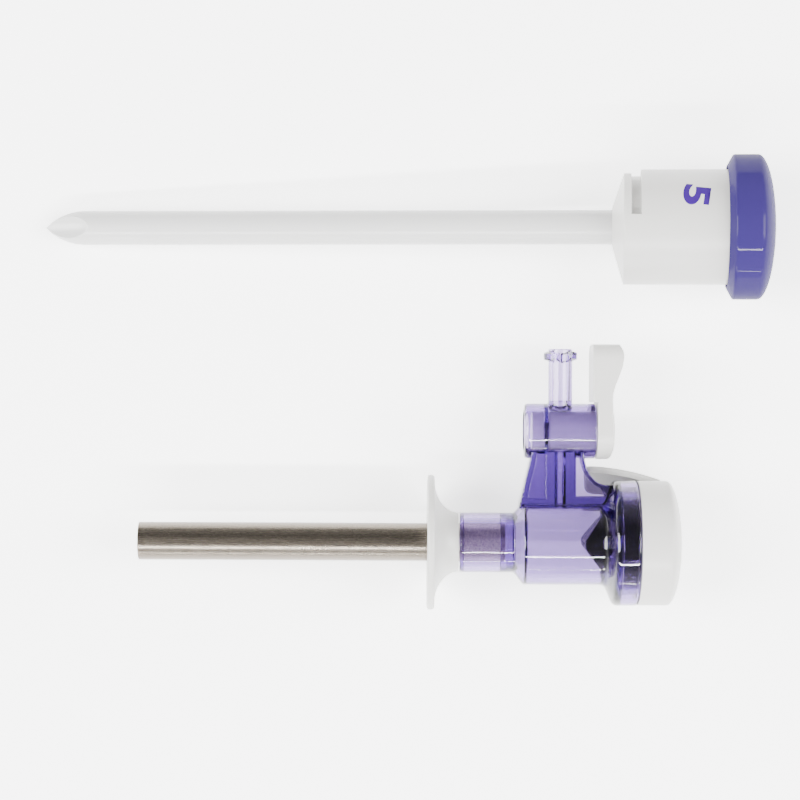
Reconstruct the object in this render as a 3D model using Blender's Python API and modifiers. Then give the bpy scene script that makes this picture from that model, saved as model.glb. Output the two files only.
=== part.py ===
"""Laparoscopic trocar: a bladeless obturator lying beside its cannula.

Both instruments lie along +X, handles at the +X end. Units are metres, +Z is up,
and the table they lie on is the plane z = 0. The origin is the middle of the
base of the box that holds both.
"""
import math

import bmesh
import bpy
from mathutils import Matrix, Vector

# Clearances and fineness of the round shapes
FIT = 0.0003
OVERRUN = 0.001
MERGE_DISTANCE = 0.000001
EDGE_RADIUS = 0.0004
ROUND_STEPS = 36
SMALL_ROUND_STEPS = 24
CORNER_STEPS = 2
SHARP_ANGLE = math.radians(30)

# Layout on the table
AXES_APART = 0.0742
TUBE_TIP_BEHIND = 0.0241

# Obturator shaft
SHAFT_DIAMETER = 0.0081
SHAFT_REACH = 0.1353
TIP_LENGTH = 0.0094
SCOOP_LENGTH = 0.0248
SCOOP_WIDTH = 0.0100
SCOOP_FLOOR = 0.0017
SCOOP_SETBACK = 0.0038
SCOOP_TILT = math.radians(17.6)

# Obturator handle
HANDLE_DIAMETER = 0.0270
HANDLE_LENGTH = 0.0313
HANDLE_WALL = 0.0020
HANDLE_NOSE_DEPTH = 0.0027
HUB_WALL = 0.0021
HUB_LENGTH = 0.0212
RECESS_DEPTH = 0.0016
RECESS_LENGTH = 0.0067
SLOT_WIDTH = 0.0022
SLOT_TOP = math.radians(81)
MOUTH_TOP = math.radians(26)
MOUTH_BOTTOM = math.radians(-32)
PIN_DIAMETER = 0.0015
PIN_STATION_SHARE = 0.6

# Obturator knob
KNOB_DIAMETER = 0.0340
KNOB_LENGTH = 0.0115
KNOB_HEAD = 0.0065
KNOB_CROWN = 0.0042
KNOB_CEILING = 0.0023
KNOB_LIP_DEPTH = 0.0016
KNOB_LIP_GAP = 0.0006
KNOB_WALL = 0.0016
KNOB_EDGE = 0.0006
SPIGOT_WALL = 0.0014
SPIGOT_LENGTH = 0.0080

# Steel tube
TUBE_DIAMETER = 0.0089
TUBE_WALL = 0.00025
TUBE_LENGTH = 0.0858
TUBE_LIP = 0.0001
TUBE_SEAT_DEPTH = 0.0106

# Fixation flange
FLANGE_DIAMETER = 0.0316
FLANGE_LENGTH = 0.0073
FLANGE_RIM = 0.0017
FLANGE_LAND = 0.0010

# Clear housing
NOSE_DIAMETER = 0.0140
NOSE_LENGTH = 0.0127
NOSE_WALL = 0.0012
FRONT_SEAT = 0.0008
REAR_SEAT = 0.0010
SHOULDER_LENGTH = 0.0022
BARREL_DIAMETER = 0.0197
BARREL_LENGTH = 0.0190
BARREL_WALL = 0.0015
CHAMBER_SETBACK = 0.0007
FLARE_LENGTH = 0.0019
FLARE_RADIUS = 0.0014
RING_DIAMETER = 0.0294
RING_LENGTH = 0.0055
RING_WALL = 0.0014
LEDGE_SETBACK = 0.0042
LEDGE_WIDTH = 0.0020
NECK_WALL = 0.0013
LUG_HEIGHT = 0.0006
LUG_LENGTH = 0.0010
LUG_ANGLE = math.radians(24)
LUG_PLAY = math.radians(4)
LUG_COUNT = 2

# Upright, stopcock body and luer
VALVE_HEIGHT = 0.0262
LUER_SETBACK = 0.0086
VALVE_LEFT = 0.0085
VALVE_RIGHT = 0.0081
VALVE_DIAMETER = 0.0129
VALVE_EDGE = 0.0008
UPRIGHT_WIDTH = 0.0084
UPRIGHT_BORDER = 0.0018
UPRIGHT_TOE = 0.0012
UPRIGHT_LEAN = 0.0041
UPRIGHT_REAR = 0.0054
UPRIGHT_STRAIGHT = 0.0049
UPRIGHT_SWEEP = 0.0053
UPRIGHT_HEEL = 0.0137
WEB_THICKNESS = 0.0060
REAR_WEB_THICKNESS = 0.0013
REAR_POCKET_SILL = 0.0108
SADDLE_WIDTH = 0.0140
SADDLE_DROP = 0.0008
CHANNEL_DIAMETER = 0.0070
GAS_BORE = 0.0027
LUER_DIAMETER = 0.0056
LUER_REACH = 0.0192
LUER_MOUTH = 0.0043
LUER_SOCKET = 0.0038
LUER_SOCKET_DEPTH = 0.0122
THREAD_DIAMETER = 0.0078
THREAD_WIDTH = 0.0018
THREAD_CREST = 0.0008
THREAD_DROP = 0.0010
THREAD_SWEEP = math.radians(150)
THREAD_STARTS = 2

# Stopcock plug, clip and lever
PLUG_DIAMETER = 0.0090
CLIP_POCKET = 0.0048
CLIP_THICKNESS = 0.0024
PARTITION = 0.0006
STEM_DIAMETER = 0.0040
LEVER_REACH = 0.0203
LEVER_DEPTH = 0.0073
LEVER_STEP = 0.0012
LEVER_WIDTH = 0.0132
LEVER_TIP_RADIUS = 0.0033
# Outline of the lever's outer side, from the tip to below the hub: shares of its depth and reach
LEVER_OUTLINE_SHARES = (
    (0.862, 1.0), (0.97, 0.92), (1.0, 0.86), (0.952, 0.75), (0.853, 0.645), (0.726, 0.53),
    (0.649, 0.43), (0.64, 0.35), (0.654, 0.24), (0.699, 0.08), (0.699, -0.09), (0.676, -0.2),
    (0.611, -0.285), (0.534, -0.32),
)
HUB_FOOT_SHARE = 0.325

# Seals
VALVE_FLANGE_DIAMETER = 0.0212
VALVE_FLANGE_LENGTH = 0.0036
VALVE_FLANGE_MOUTH = 0.0172
VALVE_TUBE_DIAMETER = 0.0146
VALVE_TUBE_WALL = 0.0010
VALVE_LIP_HEIGHT = 0.0018
VALVE_REACH = 0.0083
VALVE_ROOF = 0.0047
SLIT = 0.0003
SLIT_WIDTH = 0.0110
SPACER_THICKNESS = 0.0012
SPACER_BORE = 0.0164
SEAL_THICKNESS = 0.0012
SEAL_MEMBRANE = 0.0005
SEAL_BEAD_WIDTH = 0.0011
SEAL_HOLE = 0.0046
SEAL_DISH = 0.0009
RETAINER_THICKNESS = 0.0016
RETAINER_DIAMETER = 0.0226
RETAINER_BORE = 0.0150

# Seal cap and its thumb tab
CAP_DIAMETER = 0.0292
CAP_RIM = 0.0068
CAP_CROWN = 0.00345
CAP_PLATE = 0.0018
CAP_GUIDE = 0.0007
CAP_LEDGE = 0.0012
PORT_RIM_DIAMETER = 0.0156
PORT_LAND = 0.0007
PORT_DIAMETER = 0.0088
PORT_DEPTH = 0.0012
TAB_DIAMETER = 0.0366
TAB_LENGTH = 0.0182
TAB_THICKNESS = 0.0016
TAB_BEND = 0.053
TAB_OVERLAP = 0.0013
TAB_TOP = math.radians(-12)
TAB_BOTTOM = math.radians(-50)
CAP_TURN = math.radians(30)

# Places and radii that follow from the sizes
SHAFT_RADIUS = SHAFT_DIAMETER / 2
HANDLE_RADIUS = HANDLE_DIAMETER / 2
KNOB_RADIUS = KNOB_DIAMETER / 2
PIN_RADIUS = PIN_DIAMETER / 2
HUB_RADIUS = SHAFT_RADIUS + FIT + HUB_WALL
HUB_END = SHAFT_REACH + HUB_LENGTH
PIN_STATION = SHAFT_REACH + HUB_LENGTH * PIN_STATION_SHARE
HANDLE_END = SHAFT_REACH + HANDLE_LENGTH
KNOB_SEAT = HANDLE_END + FIT
OBTURATOR_LENGTH = KNOB_SEAT + KNOB_HEAD
KNOB_START = OBTURATOR_LENGTH - KNOB_LENGTH
KNOB_RIM_END = OBTURATOR_LENGTH - KNOB_CROWN

TUBE_RADIUS = TUBE_DIAMETER / 2
LUMEN_RADIUS = TUBE_RADIUS - TUBE_WALL
FLANGE_RADIUS = FLANGE_DIAMETER / 2
NOSE_RADIUS = NOSE_DIAMETER / 2
BARREL_RADIUS = BARREL_DIAMETER / 2
CHAMBER_RADIUS = BARREL_RADIUS - BARREL_WALL
RING_RADIUS = RING_DIAMETER / 2
HOUSING_START = TUBE_LENGTH - TUBE_SEAT_DEPTH
FLANGE_START = HOUSING_START - FIT - FLANGE_LENGTH
NOSE_END = HOUSING_START + NOSE_LENGTH
BARREL_START = NOSE_END + SHOULDER_LENGTH
BARREL_END = BARREL_START + BARREL_LENGTH
RING_START = BARREL_END + FLARE_LENGTH
RING_END = RING_START + RING_LENGTH
LEDGE = RING_END - LEDGE_SETBACK

SEAL_RADIUS = VALVE_FLANGE_DIAMETER / 2
SEAT_RADIUS = SEAL_RADIUS + FIT
DUCKBILL_START = LEDGE + FIT
DUCKBILL_END = DUCKBILL_START + VALVE_FLANGE_LENGTH
DUCKBILL_TIP = DUCKBILL_START - VALVE_REACH
SPACER_START = DUCKBILL_END + FIT
SEAL_START = SPACER_START + SPACER_THICKNESS + FIT
NECK_END = SEAL_START + SEAL_THICKNESS
NECK_RADIUS = SEAT_RADIUS + NECK_WALL
LUG_RADIUS = NECK_RADIUS + LUG_HEIGHT
RETAINER_RADIUS = RETAINER_DIAMETER / 2
RETAINER_START = NECK_END + FIT
RETAINER_END = RETAINER_START + RETAINER_THICKNESS
CAP_RADIUS = CAP_DIAMETER / 2
CAP_START = RING_END + FIT
CAP_RIM_END = CAP_START + CAP_RIM
GROOVE_START = CAP_START + CAP_GUIDE
LUG_START = GROOVE_START + FIT
PORT_RIM_RADIUS = PORT_RIM_DIAMETER / 2
CROWN_EDGE = math.asin(PORT_RIM_RADIUS / CAP_RADIUS)
CAP_END = CAP_RIM_END + CAP_CROWN * math.cos(CROWN_EDGE)
TAB_RADIUS = TAB_DIAMETER / 2
TAB_END = CAP_RIM_END - TAB_OVERLAP
TAB_START = TAB_END - TAB_LENGTH

LUER_STATION = BARREL_START + LUER_SETBACK
VALVE_RADIUS = VALVE_DIAMETER / 2
VALVE_START = LUER_STATION - VALVE_LEFT
VALVE_END = LUER_STATION + VALVE_RIGHT
PLUG_RADIUS = PLUG_DIAMETER / 2
STEM_RADIUS = STEM_DIAMETER / 2
POCKET_END = VALVE_START + CLIP_POCKET
BORE_START = POCKET_END + PARTITION
CLIP_START = POCKET_END - FIT - CLIP_THICKNESS
LEVER_START = VALVE_END + FIT - LEVER_STEP
LUER_RADIUS = LUER_DIAMETER / 2
LUER_TOP = VALVE_HEIGHT + LUER_REACH
GAS_RADIUS = GAS_BORE / 2

# The obturator lies on its knob and its tip, so it slopes a little. The thumb tab
# slopes down until its free corner stands on the table, and keeps the stopcock level.
REST_TILT = math.atan((KNOB_RADIUS - SHAFT_RADIUS) / (KNOB_START + KNOB_LIP_DEPTH - TIP_LENGTH))
TIP_HEIGHT = SHAFT_RADIUS * math.cos(REST_TILT) - TIP_LENGTH * math.sin(REST_TILT)
TAB_TILT = math.asin((FLANGE_RADIUS + TAB_RADIUS * math.sin(TAB_BOTTOM)) / TAB_LENGTH)
TIP_X = -OBTURATOR_LENGTH * math.cos(REST_TILT) / 2
OBTURATOR_Y = (AXES_APART + FLANGE_RADIUS - KNOB_RADIUS) / 2

ALONG_X = Matrix.Rotation(math.pi / 2, 4, "Y")
ALONG_Y = Matrix.Rotation(-math.pi / 2, 4, "X")
FACING_X = Matrix(((0, 0, 1, 0), (1, 0, 0, 0), (0, 1, 0, 0), (0, 0, 0, 1)))


def clear_scene():
    """Remove whatever objects the open file holds."""
    for thing in list(bpy.data.objects):
        bpy.data.objects.remove(thing, do_unlink=True)


def new_collection(name):
    """Add a collection to the scene."""
    group = bpy.data.collections.new(name)
    bpy.context.scene.collection.children.link(group)
    return group


def new_material(name, colour, roughness, metallic=0.0, alpha=1.0):
    """A Principled BSDF material in one colour."""
    material = bpy.data.materials.new(name)
    material.use_nodes = True
    shader = material.node_tree.nodes["Principled BSDF"]
    shader.inputs["Base Color"].default_value = (*colour, 1.0)
    shader.inputs["Roughness"].default_value = roughness
    shader.inputs["Metallic"].default_value = metallic
    shader.inputs["Alpha"].default_value = alpha
    return material


def add_object(name, data, group):
    """Link mesh or curve data to a collection as a named object."""
    thing = bpy.data.objects.new(name, data)
    group.objects.link(thing)
    return thing


def add_axis(name, group, parent, location, turn=(0, 0, 0)):
    """An empty on an axis, which carries the pieces that lie on it."""
    axis = add_object(name, None, group)
    axis.empty_display_size = TUBE_RADIUS
    axis.parent = parent
    axis.location = location
    axis.rotation_euler = turn
    return axis


def place(thing, parent, location=(0, 0, 0), turn=ALONG_X):
    """Hang a piece on its parent at a place, turned by a matrix."""
    thing.parent = parent
    thing.matrix_local = Matrix.Translation(location) @ turn
    return thing


def rounded(corners):
    """Turn corners (u, v, radius) into points; a corner with a radius becomes an arc."""
    points = []
    for index, (u, v, radius) in enumerate(corners):
        here = Vector((u, v))
        if not radius:
            points.append(here)
            continue
        before = (Vector(corners[index - 1][:2]) - here).normalized()
        after = (Vector(corners[(index + 1) % len(corners)][:2]) - here).normalized()
        half_angle = before.angle(after) / 2
        centre = here + (before + after).normalized() * radius / math.sin(half_angle)
        reach = radius / math.tan(half_angle)
        first = here + before * reach - centre
        last = here + after * reach - centre
        for step in range(CORNER_STEPS + 1):
            points.append(centre + first.slerp(last, step / CORNER_STEPS) * radius)
    return points


def arc(centre, semi_axes, start, end, steps):
    """Corners along an elliptical arc, at angles measured from +u towards +v."""
    corners = []
    for step in range(steps + 1):
        angle = start + (end - start) * step / steps
        u = centre[0] + semi_axes[0] * math.cos(angle)
        v = centre[1] + semi_axes[1] * math.sin(angle)
        corners.append((u, v, 0))
    return corners


def turned(name, corners, group, steps=ROUND_STEPS):
    """Turn an outline of (station, radius, corner radius) about its own axis."""
    points = [(radius, station) for station, radius in rounded(corners)]
    pairs = zip(points, points[1:] + points[:1])
    if sum(a[0] * b[1] - b[0] * a[1] for a, b in pairs) > 0:
        points.reverse()
    count = len(points)
    on_axis = [max(points[i][0], points[i - 1][0]) < MERGE_DISTANCE for i in range(count)]
    if any(on_axis):
        first = on_axis.index(True)
        points = points[first:] + points[:first]
    edges = [(index, index + 1) for index in range(count - 1)]
    if not any(on_axis):
        edges.append((count - 1, 0))
    mesh = bpy.data.meshes.new(name)
    mesh.from_pydata([(radius, 0, station) for radius, station in points], edges, [])
    thing = add_object(name, mesh, group)
    screw = thing.modifiers.new("turn", "SCREW")
    screw.axis = "Z"
    screw.steps = steps
    screw.render_steps = steps
    screw.use_merge_vertices = True
    screw.merge_threshold = MERGE_DISTANCE
    screw.use_smooth_shade = True
    return thing


def rod(name, radius, start, end, group, steps=SMALL_ROUND_STEPS):
    """A plain round bar along its own axis."""
    return turned(name, [(start, 0, 0), (start, radius, 0), (end, radius, 0), (end, 0, 0)], group, steps)


def sector(name, corners, start, end, group, rise=0.0):
    """Sweep an outline of (station, radius, corner radius) through part of a turn.

    Angles run from +Y towards +Z once the piece lies along +X. A rise along the
    axis over the whole sweep makes the sector a helical ramp.
    """
    steps = max(1, round(abs(end - start) / math.tau * ROUND_STEPS))
    work = bmesh.new()
    verts = [work.verts.new((radius, 0, station)) for station, radius in rounded(corners)]
    face = work.faces.new(verts)
    bmesh.ops.rotate(work, verts=verts, matrix=Matrix.Rotation(start + math.pi / 2, 3, "Z"))
    bmesh.ops.spin(
        work,
        geom=[face] + list(face.edges) + verts,
        cent=(0, 0, 0),
        axis=(0, 0, 1),
        dvec=(0, 0, rise / steps),
        angle=end - start,
        steps=steps,
    )
    bmesh.ops.recalc_face_normals(work, faces=work.faces)
    mesh = bpy.data.meshes.new(name)
    work.to_mesh(mesh)
    work.free()
    return add_object(name, mesh, group)


def box(name, low, high, group):
    """A box between two corners."""
    work = bmesh.new()
    bmesh.ops.create_cube(work, size=1)
    bmesh.ops.scale(work, vec=Vector(high) - Vector(low), verts=work.verts)
    bmesh.ops.translate(work, vec=(Vector(high) + Vector(low)) / 2, verts=work.verts)
    mesh = bpy.data.meshes.new(name)
    work.to_mesh(mesh)
    work.free()
    return add_object(name, mesh, group)


def plate(name, corners, thickness, group):
    """A flat outline with a thickness, centred on its own plane, as a closed mesh."""
    points = rounded(corners)
    curve = bpy.data.curves.new(name, "CURVE")
    curve.dimensions = "2D"
    curve.fill_mode = "BOTH"
    curve.extrude = thickness / 2
    spline = curve.splines.new("POLY")
    spline.points.add(len(points) - 1)
    for spot, point in zip(spline.points, points):
        spot.co = (point[0], point[1], 0, 1)
    spline.use_cyclic_u = True
    drawn = add_object(name, curve, group)
    mesh = evaluated_mesh(drawn)
    bpy.data.objects.remove(drawn, do_unlink=True)
    bpy.data.curves.remove(curve)
    return add_object(name, mesh, group)


def evaluated_mesh(thing):
    """A welded mesh of an object with its modifiers applied."""
    bpy.context.view_layer.update()
    seen = thing.evaluated_get(bpy.context.evaluated_depsgraph_get())
    mesh = bpy.data.meshes.new_from_object(seen)
    work = bmesh.new()
    work.from_mesh(mesh)
    bmesh.ops.remove_doubles(work, verts=work.verts, dist=MERGE_DISTANCE)
    work.to_mesh(mesh)
    work.free()
    return mesh


def combine(target, tool, operation):
    """Cut, join or intersect a piece with a tool."""
    tool.hide_render = True
    tool.display_type = "WIRE"
    change = target.modifiers.new(tool.name, "BOOLEAN")
    change.operation = operation
    change.solver = "EXACT"
    change.object = tool


def settle(piece, material):
    """Apply a piece's modifiers, shade it smooth up to its sharp edges and give it its material."""
    mesh = evaluated_mesh(piece)
    piece.modifiers.clear()
    piece.data = mesh
    mesh.shade_smooth()
    mesh.set_sharp_from_angle(angle=SHARP_ANGLE)
    mesh.materials.clear()
    mesh.materials.append(material)


def make_shaft(parts, tools, axis):
    """White moulded shaft: an ogive tip with two scooped facets, and a hole for the pin."""
    ogive_radius = (TIP_LENGTH ** 2 + SHAFT_RADIUS ** 2) / SHAFT_DIAMETER
    tip_angle = math.acos(-TIP_LENGTH / ogive_radius)
    ogive = arc(
        (TIP_LENGTH, SHAFT_RADIUS - ogive_radius), (ogive_radius, ogive_radius),
        tip_angle, math.pi / 2, ROUND_STEPS // 4,
    )
    end = HUB_END - HANDLE_WALL - FIT
    ogive[0] = (0, 0, 0)
    corners = ogive + [(end, SHAFT_RADIUS, EDGE_RADIUS), (end, 0, 0)]
    shaft = place(turned("obturator_shaft", corners, parts), axis)
    for side in (1, -1):
        work = bmesh.new()
        bmesh.ops.create_uvsphere(work, u_segments=SMALL_ROUND_STEPS, v_segments=SMALL_ROUND_STEPS, radius=1)
        size = Vector((SCOOP_WIDTH, SCOOP_WIDTH, SCOOP_LENGTH)) / 2
        bmesh.ops.scale(work, vec=size, verts=work.verts)
        mesh = bpy.data.meshes.new("scoop")
        work.to_mesh(mesh)
        work.free()
        scoop = add_object("scoop", mesh, tools)
        height = (SCOOP_FLOOR + SCOOP_WIDTH / 2) * side
        lean = Matrix.Rotation(math.pi / 2 - SCOOP_TILT * side, 4, "Y")
        place(scoop, axis, (SCOOP_SETBACK, 0, height), lean)
        combine(shaft, scoop, "DIFFERENCE")
    drill_for_pin(shaft, tools, axis)
    return shaft


def drill_for_pin(piece, tools, axis):
    """Cross hole through the hub and the shaft."""
    hole = rod("pin_hole", PIN_RADIUS + FIT, -HUB_RADIUS - OVERRUN, HUB_RADIUS + OVERRUN, tools)
    place(hole, axis, (PIN_STATION, 0, 0), ALONG_Y)
    combine(piece, hole, "DIFFERENCE")


def make_pin(parts, axis):
    """Steel cross pin that keeps the shaft from turning or pulling out."""
    pin = rod("shaft_pin", PIN_RADIUS, -HUB_RADIUS, HUB_RADIUS, parts)
    return place(pin, axis, (PIN_STATION, 0, 0), ALONG_Y)


def make_handle(parts, tools, axis):
    """White hollow grip with a hub for the shaft and an L-shaped bayonet recess by its nose."""
    bore = SHAFT_RADIUS + FIT
    inside = HANDLE_RADIUS - HANDLE_WALL
    nose_edge = SHAFT_REACH + HANDLE_NOSE_DEPTH
    corners = [
        (HUB_END - HANDLE_WALL, 0, 0),
        (HUB_END - HANDLE_WALL, bore, 0),
        (SHAFT_REACH, bore, 0),
        (nose_edge, HANDLE_RADIUS, EDGE_RADIUS),
        (HANDLE_END, HANDLE_RADIUS, 0),
        (HANDLE_END, inside, 0),
        (nose_edge + HANDLE_WALL, inside, EDGE_RADIUS),
        (SHAFT_REACH + HANDLE_WALL, HUB_RADIUS, EDGE_RADIUS),
        (HUB_END, HUB_RADIUS, EDGE_RADIUS),
        (HUB_END, 0, 0),
    ]
    handle = place(turned("obturator_handle", corners, parts), axis)
    floor = HANDLE_RADIUS - RECESS_DEPTH
    wall = SHAFT_REACH + RECESS_LENGTH
    rim = HANDLE_RADIUS + OVERRUN
    mouth = [(SHAFT_REACH - OVERRUN, floor, 0), (SHAFT_REACH - OVERRUN, rim, 0), (wall, rim, 0), (wall, floor, 0)]
    slot = [(wall - SLOT_WIDTH, floor, 0), (wall - SLOT_WIDTH, rim, 0), (wall, rim, 0), (wall, floor, 0)]
    for name, outline, end in (("recess_mouth", mouth, MOUTH_TOP), ("recess_slot", slot, SLOT_TOP)):
        cutter = place(sector(name, outline, MOUTH_BOTTOM, end, tools), axis)
        combine(handle, cutter, "DIFFERENCE")
    drill_for_pin(handle, tools, axis)
    return handle


def make_knob(parts, axis):
    """Purple palm knob: a domed cup over the handle's end, held by the spigot inside it."""
    lip = HANDLE_RADIUS + KNOB_LIP_GAP
    lip_end = KNOB_START + KNOB_LIP_DEPTH
    spigot = HANDLE_RADIUS - HANDLE_WALL - FIT
    dome = arc((KNOB_RIM_END, 0), (KNOB_CROWN, KNOB_RADIUS), math.pi / 2, 0, ROUND_STEPS // 4)
    dome[-1] = (OBTURATOR_LENGTH, 0, 0)
    ceiling = OBTURATOR_LENGTH - KNOB_CEILING
    corners = [(lip_end, KNOB_RADIUS, KNOB_EDGE)] + dome + [
        (ceiling, 0, 0),
        (ceiling, spigot - SPIGOT_WALL, 0),
        (KNOB_SEAT - SPIGOT_LENGTH, spigot - SPIGOT_WALL, 0),
        (KNOB_SEAT - SPIGOT_LENGTH, spigot, EDGE_RADIUS),
        (KNOB_SEAT, spigot, 0),
        (KNOB_SEAT, KNOB_RADIUS - KNOB_WALL, EDGE_RADIUS),
        (lip_end, KNOB_RADIUS - KNOB_WALL, 0),
        (lip_end, lip, 0),
        (KNOB_START, lip, 0),
    ]
    return place(turned("obturator_cap", corners, parts), axis)


def make_tube(parts, axis):
    """Stainless tube, its mouth edge broken all round."""
    corners = [
        (0, LUMEN_RADIUS, 0),
        (0, TUBE_RADIUS, TUBE_LIP),
        (TUBE_LENGTH, TUBE_RADIUS, 0),
        (TUBE_LENGTH, LUMEN_RADIUS, 0),
    ]
    return place(turned("cannula_tube", corners, parts), axis)


def make_flange(parts, axis):
    """White trumpet-shaped collar that slides along the tube."""
    end = FLANGE_START + FLANGE_LENGTH
    bore = TUBE_RADIUS + FIT
    crest = FLANGE_RADIUS - FLANGE_LAND
    flare = arc(
        (end, crest), (FLANGE_LENGTH - FLANGE_RIM, crest - NOSE_RADIUS),
        math.pi, 1.5 * math.pi, ROUND_STEPS // 6,
    )
    corners = [
        (end, bore, 0),
        (FLANGE_START, bore, 0),
        (FLANGE_START, FLANGE_RADIUS, EDGE_RADIUS),
        (FLANGE_START + FLANGE_RIM, FLANGE_RADIUS, EDGE_RADIUS),
    ] + flare
    return place(turned("fixation_flange", corners, parts), axis)


def make_housing(parts, tools, axis):
    """Clear moulding: nose, barrel and ring, with the upright, stopcock body and luer."""
    outside = [
        (HOUSING_START, 0, 0),
        (HOUSING_START, NOSE_RADIUS, EDGE_RADIUS),
        (NOSE_END, NOSE_RADIUS, EDGE_RADIUS),
        (BARREL_START, BARREL_RADIUS, EDGE_RADIUS),
        (BARREL_END, BARREL_RADIUS, FLARE_RADIUS),
        (RING_START, RING_RADIUS, FLARE_RADIUS),
        (RING_END, RING_RADIUS, EDGE_RADIUS),
        (RING_END, RING_RADIUS - RING_WALL, 0),
        (RING_START + RING_WALL, RING_RADIUS - RING_WALL, 0),
        (RING_START + RING_WALL, NECK_RADIUS, 0),
        (NECK_END, NECK_RADIUS, 0),
        (NECK_END, 0, 0),
    ]
    housing = place(turned("cannula_housing", outside, parts), axis)
    for tool in stopcock_body(tools, axis) + neck_lugs(tools, axis):
        combine(housing, tool, "UNION")
    inside = [
        (HOUSING_START - OVERRUN, 0, 0),
        (HOUSING_START - OVERRUN, TUBE_RADIUS + FIT, 0),
        (HOUSING_START + FRONT_SEAT, TUBE_RADIUS + FIT, 0),
        (HOUSING_START + FRONT_SEAT, NOSE_RADIUS - NOSE_WALL, 0),
        (TUBE_LENGTH - REAR_SEAT, NOSE_RADIUS - NOSE_WALL, 0),
        (TUBE_LENGTH - REAR_SEAT, TUBE_RADIUS + FIT, 0),
        (TUBE_LENGTH + FIT, TUBE_RADIUS + FIT, 0),
        (TUBE_LENGTH + FIT, LUMEN_RADIUS, 0),
        (NOSE_END + CHAMBER_SETBACK, LUMEN_RADIUS, 0),
        (NOSE_END + CHAMBER_SETBACK, NOSE_RADIUS - BARREL_WALL, 0),
        (BARREL_START + CHAMBER_SETBACK, CHAMBER_RADIUS, 0),
        (BARREL_END + BARREL_WALL, CHAMBER_RADIUS, EDGE_RADIUS),
        (LEDGE, SEAT_RADIUS - LEDGE_WIDTH, 0),
        (LEDGE, SEAT_RADIUS, 0),
        (NECK_END + OVERRUN, SEAT_RADIUS, 0),
        (NECK_END + OVERRUN, 0, 0),
    ]
    combine(housing, place(turned("lumen", inside, tools), axis), "DIFFERENCE")
    for tool in stopcock_bores(tools, axis):
        combine(housing, tool, "DIFFERENCE")
    return housing


def stopcock_body(tools, axis):
    """Solid forms above the barrel: upright, saddle, gas channel, stopcock body and luer."""
    saddle = box(
        "saddle",
        (BARREL_START, BARREL_RADIUS / 2, -SADDLE_WIDTH / 2),
        (RING_START - FLARE_LENGTH / 2, BARREL_RADIUS - SADDLE_DROP, SADDLE_WIDTH / 2),
        tools,
    )
    place(saddle, axis, turn=Matrix())
    channel = rod("channel", CHANNEL_DIAMETER / 2, BARREL_RADIUS - BARREL_WALL / 2, VALVE_HEIGHT, tools)
    place(channel, axis, (LUER_STATION, 0, 0), ALONG_Y)
    body = turned("stopcock_body", [
        (VALVE_START, 0, 0),
        (VALVE_START, VALVE_RADIUS, VALVE_EDGE),
        (VALVE_END, VALVE_RADIUS, EDGE_RADIUS),
        (VALVE_END, 0, 0),
    ], tools)
    place(body, axis, (0, VALVE_HEIGHT, 0))
    luer = turned("luer", [
        (VALVE_HEIGHT, 0, 0),
        (VALVE_HEIGHT, LUER_RADIUS, 0),
        (LUER_TOP, LUER_RADIUS, 0),
        (LUER_TOP, 0, 0),
    ], tools, SMALL_ROUND_STEPS)
    place(luer, axis, (LUER_STATION, 0, 0), ALONG_Y)
    return [make_upright(tools, axis), saddle, channel, body, luer] + luer_threads(tools, axis)


def make_upright(tools, axis):
    """Thick web with a raised border, pocketed on both faces, and thinner behind the channel."""
    low = CHAMBER_RADIUS
    rear = LUER_STATION + UPRIGHT_REAR
    sweep_top = VALVE_HEIGHT - UPRIGHT_STRAIGHT
    foot = RING_START + RING_WALL / 2
    toe = BARREL_START - UPRIGHT_TOE
    outline = [(toe, low), (toe + UPRIGHT_LEAN, VALVE_HEIGHT), (rear, VALVE_HEIGHT)]
    curve = arc(
        (rear + UPRIGHT_SWEEP, sweep_top), (UPRIGHT_SWEEP, sweep_top - UPRIGHT_HEEL),
        math.pi, 1.5 * math.pi, ROUND_STEPS // 6,
    )
    outline += [corner[:2] for corner in curve]
    outline += [(foot, UPRIGHT_HEEL), (foot, low)]
    work = bmesh.new()
    verts = [work.verts.new((x, y, -UPRIGHT_WIDTH / 2)) for x, y in outline]
    back = work.faces.new(verts)
    swept = bmesh.ops.extrude_face_region(work, geom=[back])
    front_verts = [item for item in swept["geom"] if isinstance(item, bmesh.types.BMVert)]
    front = next(item for item in swept["geom"] if isinstance(item, bmesh.types.BMFace))
    bmesh.ops.translate(work, vec=(0, 0, UPRIGHT_WIDTH), verts=front_verts)
    bmesh.ops.recalc_face_normals(work, faces=work.faces)
    pocket = (UPRIGHT_WIDTH - WEB_THICKNESS) / 2
    for face, inward in ((front, -pocket), (back, pocket)):
        bmesh.ops.inset_region(work, faces=[face], thickness=UPRIGHT_BORDER, use_even_offset=True)
        bmesh.ops.translate(work, vec=(0, 0, inward), verts=list(face.verts))
    mesh = bpy.data.meshes.new("upright")
    work.to_mesh(mesh)
    work.free()
    upright = place(add_object("upright", mesh, tools), axis, turn=Matrix())
    near = LUER_STATION + CHANNEL_DIAMETER / 2
    inner_sweep = (UPRIGHT_SWEEP + UPRIGHT_BORDER, sweep_top - UPRIGHT_HEEL + UPRIGHT_BORDER)
    opening = [(near, REAR_POCKET_SILL, 0), (near, sweep_top, 0)] + arc(
        (rear + UPRIGHT_SWEEP, sweep_top), inner_sweep, math.pi, 1.5 * math.pi, ROUND_STEPS // 6)
    opening += [(rear + UPRIGHT_SWEEP, REAR_POCKET_SILL, 0)]
    for side in (1, -1):
        cutter = plate("rear_pocket", opening, UPRIGHT_WIDTH / 2, tools)
        depth = side * (REAR_WEB_THICKNESS / 2 + UPRIGHT_WIDTH / 4)
        combine(upright, place(cutter, axis, (0, 0, depth), Matrix()), "DIFFERENCE")
    return upright


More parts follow.
